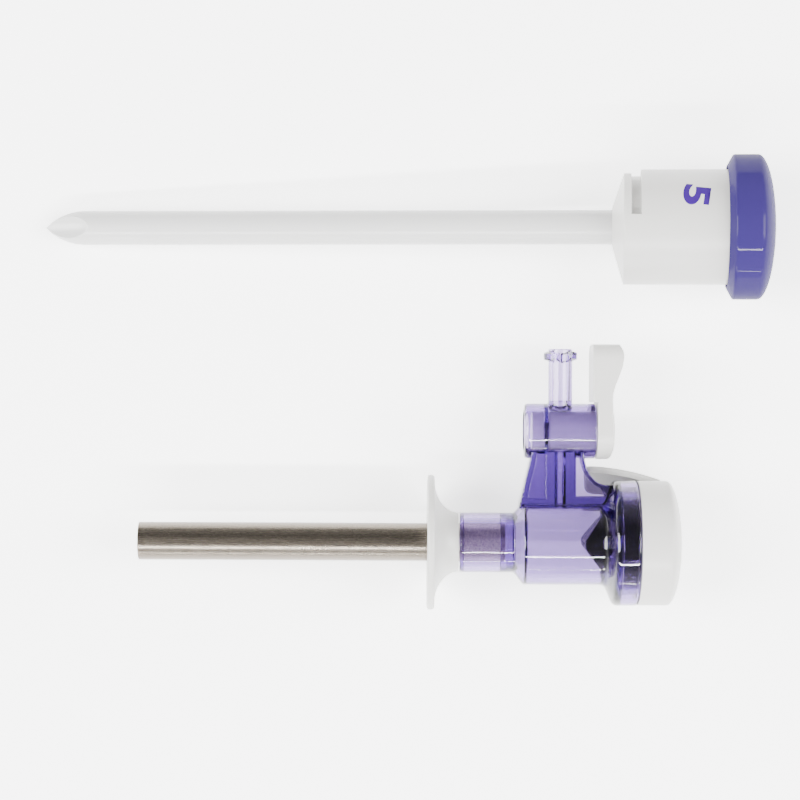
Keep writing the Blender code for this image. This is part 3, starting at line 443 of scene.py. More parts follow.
# Size numeral
# A plain 5 printed in purple ink on the handle. Its top is towards the knob, and it sits
# about 30 degrees round from the top of the grip.
NUMERAL_STATION = 154.6 * MM
NUMERAL_ANGLE = math.radians(60.5)
NUMERAL_LEAN = math.radians(-8)
NUMERAL_HEIGHT = 6.2 * MM
NUMERAL_WIDTH = 5.7 * MM
INK_THICKNESS = 0.04 * MM
NUMERAL_STRIPS = 13
STROKE_SWELL = 0.035
PURPLE_INK = (0.026, 0.007, 0.11)
glyph = bpy.data.curves.new("numeral", "FONT")
glyph.body = "5"
glyph.offset = STROKE_SWELL
glyph.resolution_u = 16
glyph_object = bpy.data.objects.new("numeral", glyph)
bpy.context.scene.collection.objects.link(glyph_object)
bpy.context.view_layer.update()
glyph_seen = glyph_object.evaluated_get(bpy.context.evaluated_depsgraph_get())
numeral_mesh = bpy.data.meshes.new_from_object(glyph_seen)
bpy.data.objects.remove(glyph_object)
work = bmesh.new()
work.from_mesh(numeral_mesh)
low = np.min([v.co for v in work.verts], axis=0)
high = np.max([v.co for v in work.verts], axis=0)
for cut in np.linspace(low[0], high[0], NUMERAL_STRIPS + 1)[1:-1]:
    parts = work.verts[:] + work.edges[:] + work.faces[:]
    bmesh.ops.bisect_plane(work, geom=parts, plane_co=(cut, 0, 0), plane_no=(1, 0, 0))
bmesh.ops.triangulate(work, faces=work.faces)
work.to_mesh(numeral_mesh)
work.free()
spots = np.zeros(len(numeral_mesh.vertices) * 3)
numeral_mesh.vertices.foreach_get("co", spots)
spots = (spots.reshape(-1, 3) - (low + high) / 2) / (high - low + (0, 0, 1))
right = spots[:, 0] * NUMERAL_WIDTH
up = spots[:, 1] * NUMERAL_HEIGHT
turn = NUMERAL_ANGLE + (right * math.cos(NUMERAL_LEAN) - up * math.sin(NUMERAL_LEAN)) / HANDLE_RADIUS
wrapped = np.stack([
    NUMERAL_STATION + right * math.sin(NUMERAL_LEAN) + up * math.cos(NUMERAL_LEAN),
    (HANDLE_RADIUS + INK_THICKNESS / 2) * np.cos(turn),
    (HANDLE_RADIUS + INK_THICKNESS / 2) * np.sin(turn),
], -1)
numeral_mesh.vertices.foreach_set("co", wrapped.ravel())
numeral_mesh.transform(OBTURATOR)
numeral = bpy.data.objects.new("size_numeral", numeral_mesh)
bpy.context.scene.collection.objects.link(numeral)
film = numeral.modifiers.new("film", "SOLIDIFY")
film.thickness = INK_THICKNESS
film.offset = 0
ink = Finish("purple_ink", colour=PURPLE_INK, roughness=0.4, Specular_IOR_Level=0.1)
ink.feed("Base Color", ink.blend(ink.noise(size=1.2 * MM), PURPLE_INK, (0.036, 0.01, 0.14)))
dress(numeral, "root", ink.material, "purple_plastic")

# Palm knob
# A domed cup in opaque purple plastic. It stands round the end of the grip with a narrow
# gap, and is held by the spigot inside it.
KNOB_RADIUS = 17.0 * MM
KNOB_START = 161.9 * MM
KNOB_LIP_END = 163.5 * MM
KNOB_RIM_END = 169.2 * MM
KNOB_CROWN = 4.2 * MM
KNOB_INSIDE = 15.4 * MM
KNOB_SEAT = 166.9 * MM
KNOB_CEILING = 171.1 * MM
SPIGOT_RADII = (9.8 * MM, 11.2 * MM)
SPIGOT_START = 158.9 * MM
LIP_RADIUS = 14.1 * MM
RIM_LENGTH = 1.5 * MM
RIM_CORNER = 0.7 * MM
LIP_EDGE = 0.25 * MM
SMALL_EDGE = 0.2 * MM
EDGE = 0.3 * MM
dome = ellipse((KNOB_RIM_END, 0), (KNOB_CROWN, KNOB_RADIUS), math.pi / 2, 0, 40)
dome[-1] = (KNOB_RIM_END + KNOB_CROWN, 0)
knob_outline = outline([
    (KNOB_START, LIP_RADIUS, LIP_EDGE),
    (KNOB_LIP_END, KNOB_RADIUS, RIM_CORNER),
    (KNOB_RIM_END - RIM_LENGTH, KNOB_RADIUS),
] + dome + [
    (KNOB_CEILING, 0),
    (KNOB_CEILING, SPIGOT_RADII[0], EDGE),
    (SPIGOT_START, SPIGOT_RADII[0], EDGE),
    (SPIGOT_START, SPIGOT_RADII[1], SOFT_EDGE),
    (KNOB_SEAT, SPIGOT_RADII[1], SMALL_EDGE),
    (KNOB_SEAT, KNOB_INSIDE, EDGE),
    (KNOB_LIP_END, KNOB_INSIDE, EDGE),
    (KNOB_LIP_END, LIP_RADIUS, SMALL_EDGE),
])
purple_plastic = plastic(
    "purple_plastic", light=(0.024, 0.0155, 0.082), dark=(0.021, 0.0135, 0.074),
    roughness=0.3, grain=0.5 * MM, depth=0.002 * MM, Specular_IOR_Level=0.0, Coat_Weight=0.16)
dress(
    skin("palm_knob", revolve(knob_outline, around(240)), OBTURATOR),
    "root", purple_plastic, "purple_plastic", "obturator_cap")

# Steel tube
# Thin drawn stainless tube with a rounded mouth, darkened by its satin finish. Its end is
# blasted rough where it is seated, in two collars in the nose of the housing, and there it is
# painted near white: a painted highlight for the broad glow seen through the nose.
TUBE_RADIUS = 4.45 * MM
LUMEN_RADIUS = 4.2 * MM
tube_low, tube_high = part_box("cannula_tube")
tube_middle = (tube_low + tube_high) / 2
CANNULA = Matrix.Translation((tube_low.x, tube_middle.y, tube_middle.z))
TUBE_LENGTH = tube_high.x - tube_low.x
SEATED_LENGTH = 12.5 * MM
TUBE_RINGS = (25 * MM, 50 * MM)
MOUTH_EDGES = (0.08 * MM, 0.12 * MM)
CUT_EDGE = 0.05 * MM
tube_outline = outline([
    (0, LUMEN_RADIUS, MOUTH_EDGES[0]),
    (0, TUBE_RADIUS, MOUTH_EDGES[1]),
] + [(ring_station, TUBE_RADIUS) for ring_station in TUBE_RINGS] + [
    (TUBE_LENGTH, TUBE_RADIUS, CUT_EDGE),
    (TUBE_LENGTH, LUMEN_RADIUS, CUT_EDGE),
] + [(ring_station, LUMEN_RADIUS) for ring_station in reversed(TUBE_RINGS)])
steel = Finish("stainless_steel", colour=(0.15, 0.13, 0.108), roughness=0.26, Metallic=1.0)
peel = steel.noise(size=0.32 * MM, detail=2.0, stretch=(0.7, 1, 1))
lines = steel.noise(size=0.12 * MM, detail=2.0, stretch=(0.02, 1, 1))
steel_x = steel.node("ShaderNodeSeparateXYZ", {}, {0: steel.spot()})
seated = steel.math("GREATER_THAN", steel_x, tube_high.x - SEATED_LENGTH)
cloud = steel.noise(size=0.3 * MM)
drawn = steel.blend(cloud, (0.24, 0.208, 0.17), (0.09, 0.078, 0.064))
# Seated end: rough blasted steel, with its colour painted near white as a painted highlight
blasted_and_painted_highlight = steel.blend(cloud, (0.98, 0.92, 0.82), (0.16, 0.15, 0.135))
steel.feed("Base Color", steel.blend(seated, drawn, blasted_and_painted_highlight))
steel.feed("Roughness", lines * 0.1 + seated * 0.2 + 0.22)
steel.relief(peel * (seated * 1.5 + 1.0) + lines * 0.15, depth=0.014 * MM)
dress(
    skin("steel_tube", revolve(tube_outline, around(160)), CANNULA),
    "root", steel.material, "stainless_steel", "cannula_tube")

# Clear housing
# One moulding in clear lavender plastic: nose, barrel and ring in a row, with the upright,
# gas channel, stopcock body and luer above them. Walls are thin, and thick parts look deep.
NOSE = (75.2 * MM, 87.9 * MM)
NOSE_RADIUS = 7.0 * MM
NOSE_INSIDE = 5.8 * MM
BARREL = (90.1 * MM, 109.1 * MM)
BARREL_RADIUS = 9.85 * MM
BARREL_INSIDE = 8.35 * MM
CHAMBER_SETBACK = 0.7 * MM
NOSE_BORE = 4.75 * MM
FRONT_SEAT = 0.8 * MM
REAR_SEAT = 1.0 * MM
TUBE_GAP = 0.3 * MM
RING = (111.0 * MM, 116.5 * MM)
RING_RADIUS = 14.7 * MM
RING_INSIDE = 13.3 * MM
RING_FLOOR = 112.4 * MM
CHAMBER_END = 110.6 * MM
LEDGE = 112.3 * MM
LEDGE_RADIUS = 8.9 * MM
SEAT_RADIUS = 10.9 * MM
NECK_RADIUS = 12.2 * MM
NECK_END = 119.2 * MM
BARREL_CORNER = 1.6 * MM
RING_CORNER = 1.5 * MM
HAIR_EDGE = 0.1 * MM
ROUND_EDGE = 0.5 * MM
FULL_EDGE = 0.6 * MM
LUER_STATION = 98.7 * MM
VALVE_HEIGHT = 26.2 * MM
VALVE = (90.2 * MM, 106.8 * MM)
VALVE_RADIUS = 6.45 * MM
VALVE_CORNER = 0.8 * MM
POCKET_END = 95.0 * MM
BORE_START = 95.6 * MM
PLUG_BORE = 4.8 * MM
STEM_BORE = 2.3 * MM
LUER_TOP = VALVE_HEIGHT + 19.2 * MM
LUER_RADIUS = 2.8 * MM
SOCKET_END = LUER_TOP - 12.2 * MM
SOCKET_RADII = (1.9 * MM, 2.15 * MM)
GAS_RADIUS = 1.35 * MM
CHANNEL_RADIUS = 3.5 * MM
SADDLE_TOP = 9.05 * MM
SADDLE_HALF = 4.8 * MM
HAIR = 0.001 * MM
STOPCOCK = CANNULA @ Matrix.Translation((0, VALVE_HEIGHT, 0))
UP = Matrix.Rotation(math.pi / 2, 4, "Z")
LUER = CANNULA @ Matrix.Translation((LUER_STATION, 0, 0)) @ UP


def combined(piece, tools, operation):
    """Join or cut a piece with tool solids, one after the other, and keep the result."""
    for tool in tools:
        change = piece.modifiers.new("change", "BOOLEAN")
        change.operation = operation
        change.solver = "EXACT"
        change.object = tool
    bpy.context.view_layer.update()
    mesh = bpy.data.meshes.new_from_object(piece.evaluated_get(bpy.context.evaluated_depsgraph_get()))
    piece.modifiers.clear()
    piece.data = mesh
    for tool in tools:
        bpy.data.objects.remove(tool)
    return piece


def smoothed(piece):
    """Shade a joined moulding smoothly, its large faces flat and its sharp edges kept."""
    piece.data.shade_smooth()
    piece.data.set_sharp_from_angle(angle=CREASE)
    even = piece.modifiers.new("even", "WEIGHTED_NORMAL")
    even.keep_sharp = True


def slab(name, corners, low, high, place, edge):
    """A flat outline of (x, y, fillet) corners between two heights, its rims rounded off.

    Each ring of the grid is the outline moved inwards along its own normals by
    edge (1 - cos t) while it climbs by edge sin t, so the rims are quarter rounds.
    """
    points = outline(corners)
    step = np.linalg.norm(points - np.roll(points, 1, axis=0), axis=1)
    points = points[step > HAIR]
    ahead = np.roll(points, -1, axis=0) - points
    behind = points - np.roll(points, 1, axis=0)
    ahead = ahead / np.linalg.norm(ahead, axis=1, keepdims=True)
    behind = behind / np.linalg.norm(behind, axis=1, keepdims=True)
    signed = np.sum(points[:, 0] * np.roll(points[:, 1], -1) - np.roll(points[:, 0], -1) * points[:, 1])
    normal = np.stack([(ahead + behind)[:, 1], -(ahead + behind)[:, 0]], -1) * math.copysign(1, signed)
    normal = normal / np.sum(normal * np.stack([ahead[:, 1], -ahead[:, 0]], -1), axis=1, keepdims=True)
    normal = normal * math.copysign(1, signed)
    t = np.linspace(0, math.pi / 2, 5)
    inset = np.concatenate([edge * (1 - np.sin(t)), edge * (1 - np.cos(t))])
    height = np.concatenate([low + edge * (1 - np.cos(t)), high - edge * (1 - np.sin(t))])
    rings = points[None] - normal[None] * inset[:, None, None]
    z = height[:, None] + 0 * points[None, :, 0]
    grid = np.concatenate([rings, z[:, :, None]], -1)
    return capped(name, grid, place)


housing = skin("clear_housing", revolve(outline([
    (NOSE[0], 0),
    (NOSE[0], NOSE_RADIUS, SOFT_EDGE),
    (NOSE[1], NOSE_RADIUS, ROUND_EDGE),
    (BARREL[0], BARREL_RADIUS, FULL_EDGE),
    (BARREL[1], BARREL_RADIUS, BARREL_CORNER),
    (RING[0], RING_RADIUS, RING_CORNER),
    (RING[1], RING_RADIUS, SOFT_EDGE),
    (RING[1], RING_INSIDE, SMALL_EDGE),
    (RING_FLOOR, RING_INSIDE, SOFT_EDGE),
    (RING_FLOOR, NECK_RADIUS, EDGE),
    (NECK_END, NECK_RADIUS, SMALL_EDGE),
    (NECK_END, 0),
]), around(192)), CANNULA)

UPRIGHT_TOE = BARREL[0] - 1.2 * MM
UPRIGHT_HALF = 4.2 * MM
UPRIGHT_LEAN = 4.1 * MM
FRONT_BORDER = 1.4 * MM
REAR_BORDER = 0.8 * MM
REAR = LUER_STATION + 5.4 * MM
SWEEP = np.array((5.3, 7.6)) * MM
SWEEP_CENTRE = (REAR + SWEEP[0], 21.3 * MM)
HEEL_END = RING[0] + 0.7 * MM
POCKET_SILL = 10.8 * MM
CHANNEL_OVERLAP = 0.1 * MM
FRONT_WEB = 3.7 * MM
REAR_WEB = 1.4 * MM
UPRIGHT_EDGE = 0.35 * MM
POCKET_EDGE = 0.12 * MM
upright_face = [
    (UPRIGHT_TOE, BARREL_INSIDE),
    (UPRIGHT_TOE + UPRIGHT_LEAN, VALVE_HEIGHT),
    (REAR, VALVE_HEIGHT),
] + ellipse(SWEEP_CENTRE, SWEEP, math.pi, 1.5 * math.pi, 24) + [
    (HEEL_END, SWEEP_CENTRE[1] - SWEEP[1]),
    (HEEL_END, BARREL_INSIDE),
]
upright = slab("upright", upright_face, -UPRIGHT_HALF, UPRIGHT_HALF, CANNULA, UPRIGHT_EDGE)
POCKET_HEIGHTS = (SADDLE_TOP + 1.2 * MM, VALVE_HEIGHT - 2 * MM)
front_edge = [
    UPRIGHT_TOE + FRONT_BORDER + UPRIGHT_LEAN * (height - BARREL_INSIDE) / (VALVE_HEIGHT - BARREL_INSIDE)
    for height in POCKET_HEIGHTS
]
front_pocket = [
    (front_edge[0], POCKET_HEIGHTS[0], SMALL_EDGE),
    (front_edge[1], POCKET_HEIGHTS[1], SMALL_EDGE),
    (LUER_STATION - CHANNEL_RADIUS + CHANNEL_OVERLAP, POCKET_HEIGHTS[1], SMALL_EDGE),
    (LUER_STATION - CHANNEL_RADIUS + CHANNEL_OVERLAP, POCKET_HEIGHTS[0], SMALL_EDGE),
]
rear_pocket = [
    (LUER_STATION + CHANNEL_RADIUS, POCKET_SILL, SMALL_EDGE),
    (LUER_STATION + CHANNEL_RADIUS, POCKET_HEIGHTS[1], SMALL_EDGE),
    (REAR - REAR_BORDER, POCKET_HEIGHTS[1], SMALL_EDGE),
] + ellipse(SWEEP_CENTRE, SWEEP + REAR_BORDER, math.pi, 1.45 * math.pi, 24) + [
    (SWEEP_CENTRE[0], POCKET_SILL, EDGE),
]
pockets = [
    slab("pocket", face, low, high, CANNULA, POCKET_EDGE)
    for face, web in ((front_pocket, FRONT_WEB), (rear_pocket, REAR_WEB))
    for low, high in ((web, UPRIGHT_HALF + MM), (-UPRIGHT_HALF - MM, -web))
]
upright = combined(upright, pockets, "DIFFERENCE")
SADDLE_START = BARREL[0] - 0.05 * MM
SADDLE_END = RING[0] - 0.9 * MM
saddle_face = [
    (SADDLE_START, BARREL_RADIUS / 2),
    (SADDLE_START, SADDLE_TOP, FULL_EDGE),
    (SADDLE_END, SADDLE_TOP, FULL_EDGE),
    (SADDLE_END, BARREL_RADIUS / 2),
]
saddle = slab("saddle", saddle_face, -SADDLE_HALF, SADDLE_HALF, CANNULA, ROUND_EDGE)
CHANNEL_FOOT = BARREL_INSIDE + 0.1 * MM
CHANNEL_FILLET = 0.7 * MM
FOOT_RIM = 0.1 * MM
FOOT_RISE = 0.05 * MM
channel = skin("channel", revolve(outline([
    (CHANNEL_FOOT, 0),
    (CHANNEL_FOOT, CHANNEL_RADIUS + CHANNEL_FILLET + FOOT_RIM),
    (SADDLE_TOP, CHANNEL_RADIUS + CHANNEL_FILLET + FOOT_RIM),
    (SADDLE_TOP + FOOT_RISE, CHANNEL_RADIUS + CHANNEL_FILLET),
    (SADDLE_TOP + FOOT_RISE, CHANNEL_RADIUS, CHANNEL_FILLET),
    (VALVE_HEIGHT, CHANNEL_RADIUS),
    (VALVE_HEIGHT, 0),
]), around(96)), LUER)
valve_body = skin("valve_body", revolve(outline([
    (VALVE[0], 0),
    (VALVE[0], VALVE_RADIUS, VALVE_CORNER),
    (VALVE[1], VALVE_RADIUS, EDGE),
    (VALVE[1], 0),
]), around(160)), STOPCOCK)
luer = skin("luer", revolve(outline([
    (VALVE_HEIGHT, 0),
    (VALVE_HEIGHT, LUER_RADIUS),
    (LUER_TOP, LUER_RADIUS, SMALL_EDGE),
    (LUER_TOP, 0),
]), around(96)), LUER)
THREAD_RADIUS = 3.9 * MM
THREAD_WIDTH = 2.7 * MM
THREAD_CREST = 1.5 * MM
THREAD_DROP = 0.8 * MM
THREAD_SWEEP = math.radians(150)
THREAD_START = math.radians(-60)
THREAD_ROOT = LUER_RADIUS - 0.4 * MM


def lock_lug(start):
    """One helical lug: a trapezium carried round the luer, falling evenly, tapered at its ends."""
    slope = (THREAD_WIDTH - THREAD_CREST) / 2
    section = np.array([(0, 0), (slope, 1), (slope + THREAD_CREST, 1), (THREAD_WIDTH, 0)])
    t = np.linspace(0, 1, 60)
    swell = np.minimum(ramp(t, 0, 0.08), 1 - ramp(t, 0.9, 1))
    crest = (THREAD_RADIUS - THREAD_ROOT) * section[:, 1]
    radius = THREAD_ROOT + crest[None] * (0.05 + 0.95 * swell[:, None])
    height = LUER_TOP - THREAD_WIDTH + section[:, 0] * 0.999 - THREAD_DROP * t[:, None]
    angle = start + THREAD_SWEEP * t[:, None] + 0 * radius
    grid = np.stack([height + 0 * angle, radius * np.cos(angle), radius * np.sin(angle)], -1)
    return capped("lug", grid, LUER)


lugs = [lock_lug(THREAD_START), lock_lug(THREAD_START + math.pi)]
housing = combined(housing, [upright, saddle, channel, valve_body, luer] + lugs, "UNION")

lumen = skin("lumen", revolve(outline([
    (NOSE[0] - MM, 0),
    (NOSE[0] - MM, NOSE_BORE),
    (NOSE[0] + FRONT_SEAT, NOSE_BORE),
    (NOSE[0] + FRONT_SEAT, NOSE_INSIDE, SMALL_EDGE),
    (TUBE_LENGTH - REAR_SEAT, NOSE_INSIDE, SMALL_EDGE),
    (TUBE_LENGTH - REAR_SEAT, NOSE_BORE),
    (TUBE_LENGTH + TUBE_GAP, NOSE_BORE),
    (TUBE_LENGTH + TUBE_GAP, LUMEN_RADIUS),
    (NOSE[1] + CHAMBER_SETBACK, LUMEN_RADIUS, SMALL_EDGE),
    (NOSE[1] + CHAMBER_SETBACK, NOSE_RADIUS - BARREL_RADIUS + BARREL_INSIDE, EDGE),
    (BARREL[0] + CHAMBER_SETBACK, BARREL_INSIDE, FULL_EDGE),
    (CHAMBER_END, BARREL_INSIDE, SOFT_EDGE),
    (LEDGE, LEDGE_RADIUS),
    (LEDGE, SEAT_RADIUS, SMALL_EDGE),
    (NECK_END + MM, SEAT_RADIUS),
    (NECK_END + MM, 0),
]), around(192)), CANNULA)
plug_bore = skin("plug_bore", revolve(outline([
    (VALVE[0] - MM, 0),
    (VALVE[0] - MM, PLUG_BORE),
    (POCKET_END, PLUG_BORE, FINE_EDGE),
    (POCKET_END, STEM_BORE),
    (BORE_START, STEM_BORE),
    (BORE_START, PLUG_BORE, FINE_EDGE),
    (VALVE[1] + MM, PLUG_BORE),
    (VALVE[1] + MM, 0),
]), around(160)), STOPCOCK)
gas_way = skin("gas_way", revolve(outline([
    (0, 0),
    (0, GAS_RADIUS),
    (SOCKET_END, GAS_RADIUS, HAIR_EDGE),
    (SOCKET_END, SOCKET_RADII[0], HAIR_EDGE),
    (LUER_TOP, SOCKET_RADII[1]),
    (LUER_TOP + MM, SOCKET_RADII[1]),
    (LUER_TOP + MM, 0),
]), around(72)), LUER)
housing = combined(housing, [lumen, plug_bore, gas_way], "DIFFERENCE")
smoothed(housing)

DEPTH_TINT = (0.27, 0.06, 0.56)
DEPTH_DENSITY = 500.0
clear = Finish(
    "clear_purple_plastic", colour=(0.87, 0.84, 0.935), roughness=0.03,
    Transmission_Weight=1.0, IOR=1.5)
clear.relief(clear.noise(size=2.5 * MM, detail=1.0), depth=0.01 * MM)
depth_colour = clear.node("ShaderNodeVolumeAbsorption", {}, {"Color": DEPTH_TINT, "Density": DEPTH_DENSITY})
clear.put(clear.tree.nodes["Material Output"].inputs["Volume"], depth_colour)
dress(housing, "root", clear.material, "clear_purple_plastic", "cannula_housing")

# Duckbill valve
# A one-way valve in black silicone: a thick flange seated in the neck, a tube, and two
# sloping lips that close on a slit and part for the instrument.
BILL_TIP = 104.3 * MM
BILL_ROOT = 112.6 * MM
BILL_END = 116.2 * MM
BILL_FLANGE = 10.6 * MM
BILL_MOUTH = 8.6 * MM
BILL_CREASE = 0.12 * MM
SLEEVE_LEAD = 1.2 * MM
HOLLOW_LEAD = 0.9 * MM
FAR = 1.0
BILL_RADIUS = 7.3 * MM
BILL_WALL = 1.0 * MM
BILL_ROOF = 4.7 * MM
LIP_HALF = 0.9 * MM
SLIT_HALF = 0.15 * MM
bill_slope = (BILL_RADIUS - LIP_HALF) / BILL_ROOF


def wedge_radius(station, radius, tip, half):
    """Radius of a tube squeezed between two sloping planes: the smaller of the tube's
    radius and (half + slope (station - tip)) / |cos angle|, with a rounded crease."""
    plane = (half + bill_slope * np.maximum(station - tip, 0)) / np.maximum(abs(np.cos(bill_angles)), 1e-4)
    return soft_min(radius, np.minimum(plane, FAR), BILL_CREASE)


bill_angles = around(240)
roof_stations = BILL_TIP + BILL_ROOF * 1.3 * np.linspace(0, 1, 50)
outer = np.stack([roof_stations, 0 * roof_stations + BILL_RADIUS], -1)
collar = outline([
    (BILL_ROOT - SLEEVE_LEAD, BILL_RADIUS),
    (BILL_ROOT, BILL_RADIUS, EDGE),
    (BILL_ROOT, BILL_FLANGE, SOFT_EDGE),
    (BILL_END, BILL_FLANGE, SOFT_EDGE),
    (BILL_END, BILL_MOUTH, EDGE),
    (BILL_ROOT, BILL_RADIUS - BILL_WALL, ROUND_EDGE),
    (BILL_ROOT - HOLLOW_LEAD, BILL_RADIUS - BILL_WALL),
])
hollow_tip = BILL_TIP + (BILL_WALL * math.hypot(1, bill_slope) - LIP_HALF + 2 * SLIT_HALF) / bill_slope
inner_stations = np.concatenate([np.linspace(BILL_TIP + BILL_ROOF * 1.5, hollow_tip, 30), [BILL_TIP]])
inner = np.stack([inner_stations, 0 * inner_stations + BILL_RADIUS - BILL_WALL], -1)
bill_profile = np.concatenate([outer, collar, inner])
bill_grid = revolve(bill_profile, bill_angles)
squeezed = np.concatenate([
    wedge_radius(outer[:, :1], outer[:, 1:], BILL_TIP, LIP_HALF),
    collar[:, 1:] + 0 * bill_angles,
    wedge_radius(inner[:, :1], inner[:, 1:], hollow_tip, SLIT_HALF),
])
bill_grid[:, :, 1] = squeezed * np.cos(bill_angles)
bill_grid[:, :, 2] = squeezed * np.sin(bill_angles)
silicone = Finish(
    "black_silicone", colour=(0.003, 0.003, 0.005), roughness=0.28, Specular_IOR_Level=0.12)
silicone.feed("Roughness", silicone.noise(size=4 * MM) * 0.15 + 0.2)
silicone.relief(silicone.noise(size=0.5 * MM), depth=0.004 * MM)
dress(
    skin("duckbill", bill_grid, CANNULA),
    "root", silicone.material, "black_silicone", "duckbill_valve")

# Valve spacer
# A rigid white ring, moulded in plastic. It rests on the duckbill's flange in the neck and
# keeps the lip seal off it.


def ring(name, start, end, bore, radius, edge, steps=160):
    """A flat ring about the cannula's axis with its four edges rounded."""
    corners = [(start, bore, edge), (start, radius, edge), (end, radius, edge), (end, bore, edge)]
    return skin(name, revolve(outline(corners), around(steps)), CANNULA)


spacer = ring(
    "spacer_ring", start=116.5 * MM, end=117.7 * MM, bore=8.2 * MM, radius=10.6 * MM, edge=FINE_EDGE)
dress(spacer, "root", white_plastic, "white_plastic", "valve_spacer")

# Lip seal
# A grey silicone disc with a bead at its rim and a dished membrane, whose round hole
# closes on the instrument's shaft. It turns with the cap.
SEAL = (118.0 * MM, 119.2 * MM)
SEAL_HOLE = 2.3 * MM
BEAD_INSIDE = 9.5 * MM
BEAD_RADIUS = 10.6 * MM
MEMBRANE_HALF = 0.25 * MM
DISH = 0.65 * MM
seal_middle = sum(SEAL) / 2
seal_outline = outline([
    (seal_middle - MEMBRANE_HALF - DISH, SEAL_HOLE, HAIR_EDGE),
    (seal_middle - MEMBRANE_HALF, BEAD_INSIDE, EDGE),
    (SEAL[0], BEAD_INSIDE, HAIR_EDGE),
    (SEAL[0], BEAD_RADIUS, SMALL_EDGE),
    (SEAL[1], BEAD_RADIUS, SMALL_EDGE),
    (SEAL[1], BEAD_INSIDE, HAIR_EDGE),
    (seal_middle + MEMBRANE_HALF, BEAD_INSIDE, EDGE),
    (seal_middle + MEMBRANE_HALF - DISH, SEAL_HOLE, HAIR_EDGE),
])
seal_rubber = Finish("seal_silicone", colour=(0.32, 0.32, 0.33), roughness=0.45)
seal_rubber.feed("Roughness", seal_rubber.noise(size=2 * MM) * 0.15 + 0.36)
seal_rubber.relief(seal_rubber.noise(size=0.4 * MM), depth=0.004 * MM)
dress(
    skin("lip_seal", revolve(seal_outline, around(160)), CANNULA),
    "cap", seal_rubber.material, "seal_silicone", "instrument_seal")

# Seal retainer
# A white ring, moulded in plastic and snapped into the cap, where it presses on the lip
# seal's bead. It turns with the cap.
retainer = ring(
    "retainer_ring", start=119.5 * MM, end=121.1 * MM, bore=7.5 * MM, radius=11.3 * MM, edge=SMALL_EDGE)
dress(retainer, "cap", white_plastic, "white_plastic", "seal_retainer")

# Seal cap
# A white cap with a bayonet groove inside and a funnel-shaped port in its end. The thumb
# tab, a bowed strip, flares forward from its rim down to the table.
CAP = (116.8 * MM, 123.6 * MM)
CAP_RADIUS = 14.6 * MM
CAP_CROWN = 3.45 * MM
PORT_RIM = 7.8 * MM
CAP_END = 126.516 * MM
CAP_RING = CAP[0] + 2 * MM
PORT_LAND = 0.7 * MM
PORT_RADIUS = 4.4 * MM
FUNNEL_END = CAP_END - 1.2 * MM
PORT_END = CAP_END - 3.0 * MM
CAP_ROOM = 121.4 * MM
CEILING_RADIUS = 10.4 * MM
SEAL_ROOM_RADIUS = 11.6 * MM
GROOVE = (117.5 * MM, 119.5 * MM)
GROOVE_RADIUS = 13.1 * MM
GUIDE_RADIUS = 12.5 * MM
crown_edge = math.asin(PORT_RIM / CAP_RADIUS)
cap_outline = outline([
    (CAP[0], GUIDE_RADIUS, HAIR_EDGE),
    (CAP[0], CAP_RADIUS, LIP_EDGE),
    (CAP_RING, CAP_RADIUS),
] + ellipse((CAP[1], 0), (CAP_CROWN, CAP_RADIUS), math.pi / 2, crown_edge, 24)[:-1] + [
    (CAP_END, PORT_RIM, HAIR_EDGE),
    (CAP_END, PORT_RIM - PORT_LAND, FINE_EDGE),
    (FUNNEL_END, PORT_RADIUS, FULL_EDGE),
    (PORT_END, PORT_RADIUS, FINE_EDGE),
    (PORT_END, PORT_RIM, EDGE),
    (CAP_ROOM, CEILING_RADIUS, SMALL_EDGE),
    (CAP_ROOM, SEAL_ROOM_RADIUS),
    (GROOVE[1], SEAL_ROOM_RADIUS),
    (GROOVE[1], GROOVE_RADIUS, FINE_EDGE),
    (GROOVE[0], GROOVE_RADIUS, FINE_EDGE),
    (GROOVE[0], GUIDE_RADIUS, HAIR_EDGE),
])
cap_piece = skin("end_cap", revolve(cap_outline, around(240)), CANNULA)

TAB_TOP = math.radians(-12)
TAB_BOTTOM = math.radians(-50)
TAB_END = 122.3 * MM
TAB_LENGTH = 18.2 * MM
TAB_RADIUS = 18.3 * MM
TAB_BEND = 53 * MM
TAB_THICKNESS = 1.6 * MM
TAB_CORNER = 2.5 * MM
TAB_NOSE = 0.8 * MM
SIDE_SHARE = 0.04
tab_tilt = math.asin((tube_middle.z + TAB_RADIUS * math.sin(TAB_BOTTOM)) / TAB_LENGTH)
along = np.concatenate([[0, 0.004], np.linspace(0.01, 0.2, 16), np.linspace(0.25, 1, 20)])
over = np.linspace(-1, 1, 60)
station = TAB_END - TAB_LENGTH * (1 - along)
bow = TAB_RADIUS - TAB_BEND + np.sqrt(TAB_BEND ** 2 - (station - TAB_END + TAB_LENGTH) ** 2)
middle_angle = (TAB_TOP + TAB_BOTTOM) / 2
half_angle = (TAB_TOP - TAB_BOTTOM) / 2
corner_turn = np.clip(1 - along * TAB_LENGTH / TAB_CORNER, 0, 1)
narrow = half_angle - TAB_CORNER / TAB_RADIUS * (1 - np.sqrt(1 - corner_turn ** 2))
edge_soft = np.sqrt(np.maximum(1 - (np.clip(abs(over) - 1 + SIDE_SHARE, 0, 1) / SIDE_SHARE) ** 2, 0))
front_soft = np.sqrt(np.maximum(1 - np.clip(1 - along * TAB_LENGTH / TAB_NOSE, 0, 1) ** 2, 0))
thick = TAB_THICKNESS / 2 * np.maximum(edge_soft[None] * front_soft[:, None], 0.02)
angle = middle_angle + narrow[:, None] * over[None]
centre_radius = bow[:, None] - TAB_THICKNESS / 2
sheets = [
    np.stack([station[:, None] + 0 * angle, r * np.cos(angle), r * np.sin(angle)], -1)
    for r in (centre_radius + thick, centre_radius - thick)
]
loop = np.concatenate([sheets[0], sheets[1][:, ::-1]], axis=1)
hinge = Matrix.Translation((TAB_END, 0, 0))
tab_place = CANNULA @ hinge @ Matrix.Rotation(-tab_tilt, 4, "Y") @ hinge.inverted()
